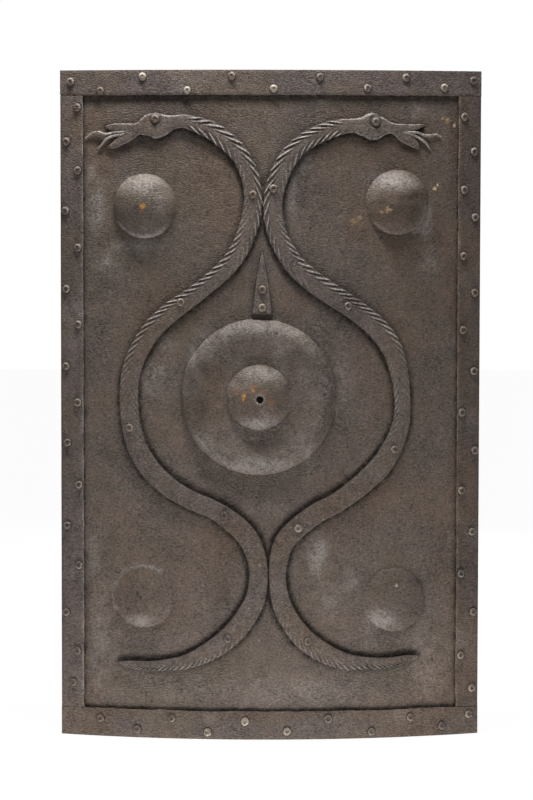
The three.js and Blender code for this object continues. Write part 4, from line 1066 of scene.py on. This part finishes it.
# How pale or dark single heads are, by their place in the list of seats.
pale_rivets = {
    2: 0.8, 3: 0.7, 4: 0.2, 5: 0.6, 7: 0.2, 8: 0.25, 9: 0.55,
    11: -0.18, 12: -0.12, 13: -0.18, 14: 0.4, 15: 0.7, 16: 0.3, 17: 0.0, 18: -0.15, 19: -0.12, 20: -0.18,
    35: -0.1, 36: -0.15, 37: -0.15,
    58: -0.1, 59: -0.15, 63: -0.05, 64: 0.5, 65: -0.15, 66: 0.2,
}

rivet_looks = {"Grey": (0.088, 0.07, 0.062), "Brown": (0.086, 0.061, 0.047), "Bare": (0.36, 0.305, 0.25)}
rivet_iron = iron_material("closed_rivet_iron", rivet_looks, 0.5, 0.9, 0.0006)

COUNT = "NodeSocketInt"
SHAPE = "NodeSocketGeometry"
FINISH = "NodeSocketMaterial"


def geometry_group(name, inputs, output):
    """A geometry tree for a set of places, its wiring and its inputs."""
    tree = new_group(name, [("Places", SHAPE), *inputs, ("Finish", FINISH)], [(output, SHAPE)],
                     "GeometryNodeTree")
    tree.is_modifier = True
    w = Wiring(tree)
    return tree, w, w.node("NodeGroupInput").outputs


def kept_number(w, shape, name, value):
    """A geometry that keeps one number at each of its points."""
    return w.node("GeometryNodeStoreNamedAttribute", {"data_type": "FLOAT"}, Geometry=shape, Name=name,
                  Value=value).outputs[0]


def read_back(w, name, kind="FLOAT"):
    """What the points keep under a name."""
    return w.node("GeometryNodeInputNamedAttribute", {"data_type": kind}, Name=name).outputs["Attribute"]


def set_out(w, given, shape, **placing):
    """One copy of a shape at each place, as a real mesh."""
    cloud = w.node("GeometryNodeMeshToPoints", Mesh=given["Places"])
    copies = w.node("GeometryNodeInstanceOnPoints", Points=cloud.outputs[0], Instance=shape, **placing)
    return w.node("GeometryNodeRealizeInstances", Geometry=copies.outputs[0]).outputs[0]


def hand_over(w, given, shape, output):
    """Smooths a shape, gives it its finish and hands it to the tree's output."""
    smooth = w.node("GeometryNodeSetShadeSmooth", Geometry=shape)
    dressed = w.node("GeometryNodeSetMaterial", Geometry=smooth.outputs[0], Material=given["Finish"])
    w.node("NodeGroupOutput", **{output: dressed.outputs[0]})


rivet_tree, w, given = geometry_group(
    "closed_rivets",
    [("Sides", COUNT), ("Rings", COUNT), ("Squareness", NUMBER), ("Dish", NUMBER), ("Hammering", NUMBER),
     ("Polish", NUMBER), ("Seed", COUNT)],
    "Rivets",
)
ball = w.node("GeometryNodeMeshUVSphere", Segments=given["Sides"], Rings=given["Rings"], Radius=1.0)
spot = w.node("ShaderNodeSeparateXYZ", Vector=w.node("GeometryNodeInputPosition").outputs[0]).outputs
above = w.math("MAXIMUM", spot["Z"], 0.0)
from_axis = w.math("SQRT", w.add(w.math("POWER", spot["X"], 2.0), w.math("POWER", spot["Y"], 2.0)))
dish = w.times(w.span(from_axis, 0.0, 0.55, 1.0, 0.0), given["Dish"])
level = w.minus(w.math("POWER", above, given["Squareness"]), w.times(dish, above))
level = w.add(level, w.times(w.math("MINIMUM", spot["Z"], 0.0), 0.15))
# A pale ring on the rim, partly rubbed iron and partly a painted highlight, and painted shade at the foot and
# in the dished middle.
rubbed_and_lit = w.times(w.span(from_axis, 0.5, 0.68), w.span(from_axis, 0.84, 0.96, 1.0, 0.0))
foot_and_dish_shade = w.math("MAXIMUM", w.span(from_axis, 0.84, 0.95, 0.0, 0.9), w.span(from_axis, 0.25, 0.5, 0.45, 0.0))
marked = kept_number(w, kept_number(w, ball.outputs["Mesh"], "rim_wear_and_highlight", rubbed_and_lit), "grime", foot_and_dish_shade)
shaped = w.node("ShaderNodeCombineXYZ", X=spot["X"], Y=spot["Y"], Z=level)
head = w.node("GeometryNodeSetPosition", Geometry=marked, Position=shaped.outputs[0])

facing = read_back(w, "facing", "FLOAT_VECTOR")
turned = w.node("FunctionNodeAlignRotationToVector", {"axis": "Z"}, Vector=facing)
spin = w.node("FunctionNodeRandomValue", {"data_type": "FLOAT"}, Seed=given["Seed"])
w.feed(spin.inputs[2], 0.0)
w.feed(spin.inputs[3], 6.283)
own_turn = w.node("FunctionNodeAxisAngleToRotation", Axis=(0, 0, 1), Angle=spin.outputs[1])
both = w.node("FunctionNodeRotateRotation", {"rotation_space": "LOCAL"})
w.fill(both, turned.outputs[0], own_turn.outputs[0])
sized = read_back(w, "size", "FLOAT_VECTOR")
real = set_out(w, given, head.outputs[0], Rotation=both.outputs[0], Scale=sized)

where = w.node("GeometryNodeInputPosition").outputs[0]
beaten = w.node("ShaderNodeTexNoise", Vector=where, Scale=210.0, Detail=2.0)
push = w.times(w.minus(beaten.outputs["Fac"], 0.5), w.times(given["Hammering"], 0.012))
shove = w.node("ShaderNodeVectorMath", {"operation": "SCALE"}, Scale=push)
w.feed(shove.inputs[0], w.node("GeometryNodeInputNormal").outputs[0])
dented = w.node("GeometryNodeSetPosition", Geometry=real, Offset=shove.outputs[0])
# Each head's own paleness, with the rim ring's rubbed iron and painted highlight.
polish = w.add(read_back(w, "worn"), w.times(read_back(w, "rim_wear_and_highlight"), given["Polish"]))
hand_over(w, given, kept_number(w, dented.outputs[0], "worn", polish), "Rivets")


def run_tree(name, tree, places, attributes, settings):
    """Runs a geometry tree over a set of points and keeps the result as a plain mesh."""
    mesh = bpy.data.meshes.new(name + "_places")
    mesh.from_pydata(places, [], [])
    for label, values in attributes.items():
        values = np.asarray(values, dtype=np.float32)
        kind, slot = ("FLOAT", "value") if values.ndim == 1 else ("FLOAT_VECTOR", "vector")
        mesh.attributes.new(label, kind, "POINT").data.foreach_set(slot, values.ravel())
    seed_object = placed(name + "_seed", mesh)
    modifier = seed_object.modifiers.new("make", "NODES")
    modifier.node_group = tree
    for item in tree.interface.items_tree:
        if item.item_type == "SOCKET" and item.in_out == "INPUT" and item.name in settings:
            modifier[item.identifier] = settings[item.name]
    graph = bpy.context.evaluated_depsgraph_get()
    plain = bpy.data.meshes.new_from_object(seed_object.evaluated_get(graph))
    plain.name = name
    bpy.data.objects.remove(seed_object)
    return placed(name, plain)


places, facings, sizes, pale_marks, browned = [], [], [], [], []
for k, (across, up, seat) in enumerate(seats):
    turn = across / ROLL_RADIUS
    outward = (math.sin(turn), -math.cos(turn), 0.0)
    vary = 1 + 0.06 * lumps(k * 0.37, 0.5, 1.0, 61.0)
    behind = -SHEET_GAUGE - further_back.get(k, 0.0)
    places += [rolled(across, up, seat - RIVET_SINK), rolled(across, up, behind + RIVET_SINK)]
    facings += [outward, tuple(-c for c in outward)]
    sizes.append((RIVET_RADIUS * vary, RIVET_RADIUS * vary * 0.97, RIVET_RISE * (2 - vary)))
    sizes.append((TAIL_RADIUS * vary, TAIL_RADIUS * 0.95, TAIL_RISE))
    pale_marks += [pale_rivets.get(k, 0.12 * abs(lumps(k * 0.71, 1.5, 1.0, 62.0))), 0.1]
    browned += [max(0.15 + 0.5 * lumps(k * 0.53, 2.5, 1.0, 63.0), 0.0), 0.5]
rivets = run_tree(
    "closed_rivets_iron",
    rivet_tree,
    places,
    {"facing": facings, "size": sizes, "worn": pale_marks, "stain": browned},
    {"Sides": 24, "Rings": 20, "Squareness": 1.05, "Dish": 0.34, "Hammering": 0.16, "Polish": 0.3, "Seed": 5,
     "Finish": rivet_iron},
)
loose = [f"{side}_strap_rivet_{k:02d}" for side in ("left", "right") for k in range(1, 17)]
loose += [f"{side}_serpent_rivet_{k}" for side in ("left", "right") for k in range(1, 7)]
loose += ["wedge_rivet_lower", "wedge_rivet_upper"]
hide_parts(*loose)
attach(rivets, "shield")


# The ring saddle and the hanging ring
# A strip bent to an arch behind the wedge plate, held by the wedge's two rivets. The forged ring that
# the shield hangs by swings in the arch.
SADDLE_GAUGE = 0.0024
SADDLE_WIDTH = 0.012
SADDLE_SEAT = 0.00039
ARCH_RADIUS = 0.0055
PIVOT_DEPTH = 0.005
PIVOT_UP = WEDGE_FOOT + sum(up for up, _ in WEDGE_RIVETS) / 2
RING_RADIUS = 0.022
RING_WIRE = 0.003
HALF_SADDLE = 0.01765
SADDLE_BEND = 0.0012
black_looks = {"Grey": (0.05, 0.045, 0.042), "Brown": (0.06, 0.044, 0.033), "Bare": (0.2, 0.19, 0.18)}
black_iron = iron_material("black_forged_iron", black_looks, 0.45, 1.0, 0.0007, metallic=0.35)


def rounded_section(width, gauge, rounding, spans=8):
    """A flat bar's section as (across, out) steps, with rounded corners and its two long sides in spans."""
    section = []
    for quarter, (left, under) in enumerate(((1, 1), (-1, 1), (-1, -1), (1, -1))):
        cx, cy = left * (width / 2 - rounding), under * (gauge / 2 - rounding)
        turns = [math.pi / 2 * (quarter + j / 3) for j in range(4)]
        corner = [(cx + rounding * math.cos(turn), cy + rounding * math.sin(turn)) for turn in turns]
        if quarter in (1, 3):
            (x0, y0), (x1, y1) = section[-1], corner[0]
            section += [(x0 + (x1 - x0) * j / spans, y0 + (y1 - y0) * j / spans) for j in range(1, spans)]
        section += corner
    return section


def finish_back(made, node, body="shield", pale=0.05):
    """Marks one piece of the back, hides the part it stands for, and has it ride on a body."""
    mark(made, (pale, 0.3, 0.0))
    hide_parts(node)
    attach(made, body)


foot_depth = SADDLE_SEAT + SADDLE_GAUGE / 2
foot_run = HALF_SADDLE - ARCH_RADIUS - SADDLE_BEND
lower_foot = [(-HALF_SADDLE + foot_run * k / 8, foot_depth) for k in range(9)]
arch = [(ARCH_RADIUS * math.cos(math.pi - math.pi * k / 16),
         max(PIVOT_DEPTH + ARCH_RADIUS * math.sin(math.pi - math.pi * k / 16), foot_depth + SADDLE_BEND))
        for k in range(17)]
upper_foot = [(-along, depth) for along, depth in reversed(lower_foot)]
saddle_line = np.array(lower_foot + arch + upper_foot)
saddle_heading = headings(saddle_line)
rings = []
for k, (along, depth) in enumerate(saddle_line):
    end = min(k, len(saddle_line) - 1 - k)
    wide = SADDLE_WIDTH * (0.72, 0.88, 0.96, 1.0)[min(end, 3)]
    ring = []
    for across, thick in rounded_section(wide, SADDLE_GAUGE, 0.0005, 4):
        up = PIVOT_UP + along + saddle_heading[k][1] * thick
        behind = depth - saddle_heading[k][0] * thick
        ring.append(rolled(WEDGE_ACROSS + across, up, -SHEET_GAUGE - behind))
    rings.append(ring)
finish_back(swept("ring_saddle_iron", rings, black_iron), "ring_saddle")

ring_middle = Vector(rolled(WEDGE_ACROSS, PIVOT_UP - RING_RADIUS, -SHEET_GAUGE - PIVOT_DEPTH))
ring_turn = WEDGE_ACROSS / ROLL_RADIUS
sideways = Vector((math.cos(ring_turn), math.sin(ring_turn), 0.0))
inward = Vector((-math.sin(ring_turn), math.cos(ring_turn), 0.0))
rings = []
for k in range(96):
    turn = 2 * math.pi * k / 96
    ring = []
    for j in range(16):
        bend = 2 * math.pi * j / 16
        wire = RING_WIRE * (0.965 + 0.035 * lumps(3 * math.cos(turn), 3 * math.sin(turn), 1.0, 71.0))
        wire -= 0.00012 * max(lumps(9 * math.cos(turn) + j, 9 * math.sin(turn), 1.0, 72.0), 0)
        reach = RING_RADIUS + wire * math.cos(bend)
        spot = ring_middle + sideways * reach * math.cos(turn) + Vector((0, 0, reach * math.sin(turn)))
        ring.append(tuple(spot + inward * wire * math.sin(bend)))
    rings.append(ring)
hanging_ring = swept("hanging_ring_iron", rings, black_iron, closed=True)
finish_back(hanging_ring, "hanging_ring", "ring", 0.15)


# The grip bar and its leather
# A flat bar across the hollow back, its ends bent to lie on the sheet and held by a side-strap rivet
# each. A leather sleeve is sewn round its middle for the hand.
GRIP_HEIGHT = 0.03
GRIP_GAUGE = 0.005
GRIP_UP = 0.44685
GRIP_INNER = np.array((0.2406, 0.04285))
GRIP_OUTER = np.array((0.2747, 0.0542))
BEND_START = np.array((0.228, GRIP_INNER[1]))
BEND_SHARE = 0.0126 / 0.036
bend_end = GRIP_INNER + (GRIP_OUTER - GRIP_INNER) * BEND_SHARE
half_path = [(BEND_START[0] * k / 57, GRIP_INNER[1]) for k in range(58)]
for t in [k / 10 for k in range(1, 11)]:
    half_path.append((1 - t) ** 2 * BEND_START + 2 * t * (1 - t) * GRIP_INNER + t**2 * bend_end)
half_path += [bend_end + (GRIP_OUTER - bend_end) * k / 12 for k in range(1, 13)]
grip_line = np.array([(-x, y) for x, y in reversed(half_path[1:])] + [tuple(spot) for spot in half_path])
grip_heading = headings(grip_line)
rings = []
for k, (x, y) in enumerate(grip_line):
    to_end = math.hypot(*(grip_line[0 if k < len(grip_line) / 2 else -1] - grip_line[k]))
    tall = GRIP_HEIGHT * (1 - 0.3 * fade(-0.002, 0.01, to_end)) * (1 + 0.012 * lumps(x, 0, 0.05, 81.0))
    ring = []
    for up, thick in rounded_section(tall, GRIP_GAUGE - 0.0002, 0.0012):
        thick += 0.00015 * lumps(x, up, 0.02, 82.0) if thick > 0 else 0.0
        ring.append((x - grip_heading[k][1] * thick, y + grip_heading[k][0] * thick, GRIP_UP + up))
    rings.append(ring)
finish_back(swept("grip_bar_iron", rings, black_iron), "grip_bar", pale=0.04)

LEATHER_LENGTH = 0.124
LEATHER_GAUGE = 0.004
LEATHER_CORNER = 0.0052
SEAM_UP = 0.004
HALF_SEAM = 0.057
SLEEVE_ROOM = 0.0006
sleeve_height = GRIP_HEIGHT + SLEEVE_ROOM + 2 * LEATHER_GAUGE
sleeve_depth = GRIP_GAUGE + SLEEVE_ROOM + 2 * LEATHER_GAUGE
leather_hide, w, place = new_material("grip_leather_hide")
cells = w.node("ShaderNodeTexVoronoi", {"feature": "DISTANCE_TO_EDGE"}, Vector=place, Scale=900.0)
pores = w.span(cells.outputs["Distance"], 0.0, 0.14)
creases = w.clouds(w.stretched(place, (220, 60, 60)), 1.0, 4.0, 0.6)
hide = w.clouds(place, 70.0, 5.0, 0.6, 1.3)
polish = w.clouds(place, 22.0, 4.0, 0.6, 4.4)
colour = w.blend(w.span(hide, 0.35, 0.65), (0.045, 0.022, 0.012, 1), (0.085, 0.044, 0.024, 1))
colour = w.blend(w.span(polish, 0.45, 0.65, 0.0, 0.6), colour, (0.035, 0.02, 0.013, 1))
colour = w.blend(w.times(w.span(creases, 0.55, 0.7), 0.5), colour, (0.14, 0.08, 0.046, 1))
colour = w.blend(w.span(pores, 0.0, 1.0, 0.35, 0.0), colour, (0.018, 0.01, 0.007, 1))
surface(w, w.weighed((pores, 0.25), (creases, 1.4), (hide, 0.6)), 0.0006, Base_Color=colour,
        Roughness=w.span(polish, 0.35, 0.65, 0.62, 0.42), Metallic=0.0, Specular_IOR_Level=0.4)


def sleeve_ring(x, inset, swell):
    """One turn of the sleeve's skin, with the seam's groove along the side away from the sheet."""
    ring = []
    width, gauge = sleeve_height - 2 * inset, sleeve_depth - 2 * inset
    for up, out in rounded_section(width, gauge, LEATHER_CORNER - inset, 16):
        push = swell + 0.00035 * lumps(x * 3, up, 0.012, 83.0) - 0.0002
        if inset == 0 and out > 0:
            push -= 0.0011 * hump(up, SEAM_UP, 0.0009)
        grown = 1 + push / math.hypot(up, out)
        ring.append((x, GRIP_INNER[1] + out * grown, GRIP_UP + up * grown))
    return ring


rings = []
sleeve_marks = [LEATHER_LENGTH * k / 80 - LEATHER_LENGTH / 2 for k in range(81)]
for k, x in enumerate(sleeve_marks):
    lip = (-0.0012, -0.0004, 0.0)[min(k, 80 - k, 2)]
    rings.append(sleeve_ring(x, 0.0, 0.0005 * math.cos(math.pi * x / LEATHER_LENGTH) + lip))
rings += [sleeve_ring(x, LEATHER_GAUGE - 0.0002, 0.0) for x in reversed(sleeve_marks[::4])]
sleeve = swept("grip_leather_sleeve", rings, leather_hide, closed=True, crease=50)
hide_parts("grip_leather")
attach(sleeve, "shield")

thread, w, place = new_material("waxed_thread")
twist = w.node("ShaderNodeTexWave", {"bands_direction": "DIAGONAL"}, Vector=place, Scale=700.0,
               Distortion=1.5).outputs["Fac"]
colour = w.blend(twist, (0.16, 0.11, 0.065, 1), (0.3, 0.22, 0.14, 1))
surface(w, twist, 0.0003, 0.8, Base_Color=colour, Metallic=0.0, Roughness=0.7)

stitch_tree, w, given = geometry_group(
    "seam_stitches",
    [("Length", NUMBER), ("Thickness", NUMBER), ("Slant", NUMBER), ("Unevenness", NUMBER), ("Seed", COUNT)],
    "Stitches",
)
bead = w.node("GeometryNodeMeshUVSphere", Segments=10, Rings=8, Radius=0.5)
size = w.node("ShaderNodeCombineXYZ", X=given["Thickness"], Y=given["Thickness"], Z=given["Length"])
shaped = w.node("GeometryNodeTransform", Geometry=bead.outputs["Mesh"], Scale=size.outputs[0])
lean = w.node("FunctionNodeRandomValue", {"data_type": "FLOAT"}, Seed=given["Seed"])
w.feed(lean.inputs[2], w.minus(given["Slant"], given["Unevenness"]))
w.feed(lean.inputs[3], w.add(given["Slant"], given["Unevenness"]))
slanted = w.node("FunctionNodeAxisAngleToRotation", Axis=(0, 1, 0), Angle=lean.outputs[1])
hand_over(w, given, set_out(w, given, shaped.outputs[0], Rotation=slanted.outputs[0]), "Stitches")
seam_face = GRIP_INNER[1] + sleeve_depth / 2 - 0.0003
stitches = run_tree(
    "grip_leather_stitches",
    stitch_tree,
    [(-HALF_SEAM + 2 * HALF_SEAM * k / 22, seam_face, GRIP_UP + SEAM_UP) for k in range(23)],
    {},
    {"Length": 0.0046, "Thickness": 0.0012, "Slant": 0.55, "Unevenness": 0.12, "Seed": 9, "Finish": thread},
)
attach(stitches, "shield")


# The stage
# A pale floor, a white surround, and two broad soft lamps, one above and one below, as when metal is
# photographed flat on: they rake the face and leave it dark between the highlights. A third lights the back.
def seen_straight(w):
    """1 for rays that come from the camera, by a mirror or through glass, and 0 for the rest."""
    path = w.node("ShaderNodeLightPath").outputs
    straight = w.math("MAXIMUM", path["Is Camera Ray"], path["Is Glossy Ray"])
    return w.math("MAXIMUM", straight, path["Is Transmission Ray"])


def two_ways(w, straight, soft, bright):
    """One shader for light that falls on things, and another for what is seen."""
    mixed = w.node("ShaderNodeMixShader", Fac=straight)
    w.feed(mixed.inputs[1], soft.outputs[0])
    w.feed(mixed.inputs[2], bright.outputs[0])
    return mixed.outputs[0]


floor_mesh = bpy.data.meshes.new("floor")
floor_mesh.from_pydata([(-8, -8, 0), (8, -8, 0), (8, 8, 0), (-8, 8, 0)], [], [(0, 1, 2, 3)])
floor = placed("floor", floor_mesh)
floor_paint, w, _ = new_material("pale_floor")
matte = w.node("ShaderNodeBsdfDiffuse", Color=(0.85, 0.85, 0.85, 1))
white = w.node("ShaderNodeEmission", Color=(1, 1, 1, 1), Strength=1.0)
w.node("ShaderNodeOutputMaterial", Surface=two_ways(w, w.times(seen_straight(w), 0.97), matte, white))
floor_mesh.materials.append(floor_paint)
floor.visible_shadow = False

world = bpy.data.worlds.new("studio")
bpy.context.scene.world = world
world.use_nodes = True
world.node_tree.nodes.clear()
w = Wiring(world.node_tree)
soft = w.node("ShaderNodeBackground", Color=(1, 1, 1, 1), Strength=0.028)
bright = w.node("ShaderNodeBackground", Color=(1, 1, 1, 1), Strength=1.0)
w.node("ShaderNodeOutputWorld", Surface=two_ways(w, seen_straight(w), soft, bright))


def lamp(name, place, aim, width, height, power):
    """One soft box, turned to face a point."""
    light = bpy.data.lights.new(name, "AREA")
    light.shape = "RECTANGLE"
    light.size = width
    light.size_y = height
    light.energy = power
    made = placed(name, light)
    made.location = place
    made.rotation_euler = (Vector(aim) - Vector(place)).to_track_quat("-Z", "Y").to_euler()


lamp("upper_soft_box", (-0.12, -0.28, 1.85), (0, 0, 0.6), 0.8, 0.13, 38.5)
lamp("lower_soft_box", (-0.02, -0.36, -0.52), (0, 0, 0.28), 1.0, 0.14, 9.8)
lamp("rear_soft_box", (0.8, 2.2, 1.1), (0, 0, 0.5), 1.6, 1.0, 72)

bpy.context.scene.view_settings.view_transform = "Standard"

# The camera stands as the photographer's did: square to the shield, a little above its middle.
CAMERA_TARGET = Vector((-0.0061, FACE_DEPTH, 0.4595))
CAMERA_AWAY = 4.28
AZIMUTH, ELEVATION, TILT = -0.01684, 0.07176, 0.00166
SENSOR_WIDTH = 36
FOCAL_PIXELS, PICTURE_PIXELS = 3193.6, 800
level_reach = math.cos(ELEVATION)
away = Vector((math.sin(AZIMUTH) * level_reach, -math.cos(AZIMUTH) * level_reach, math.sin(ELEVATION)))
level = (-away).cross(Vector((0, 0, 1))).normalized()
upright = level.cross(-away)
right = math.cos(TILT) * level + math.sin(TILT) * upright
upward = math.cos(TILT) * upright - math.sin(TILT) * level
camera_data = bpy.data.cameras.new("camera")
camera_data.sensor_width = SENSOR_WIDTH
camera_data.lens = FOCAL_PIXELS / PICTURE_PIXELS * SENSOR_WIDTH
camera_data.clip_end = 50
camera = placed("camera", camera_data)
turn = Matrix((right, upward, away)).transposed().to_4x4()
camera.matrix_world = Matrix.Translation(CAMERA_TARGET + away * CAMERA_AWAY) @ turn
bpy.context.scene.camera = camera
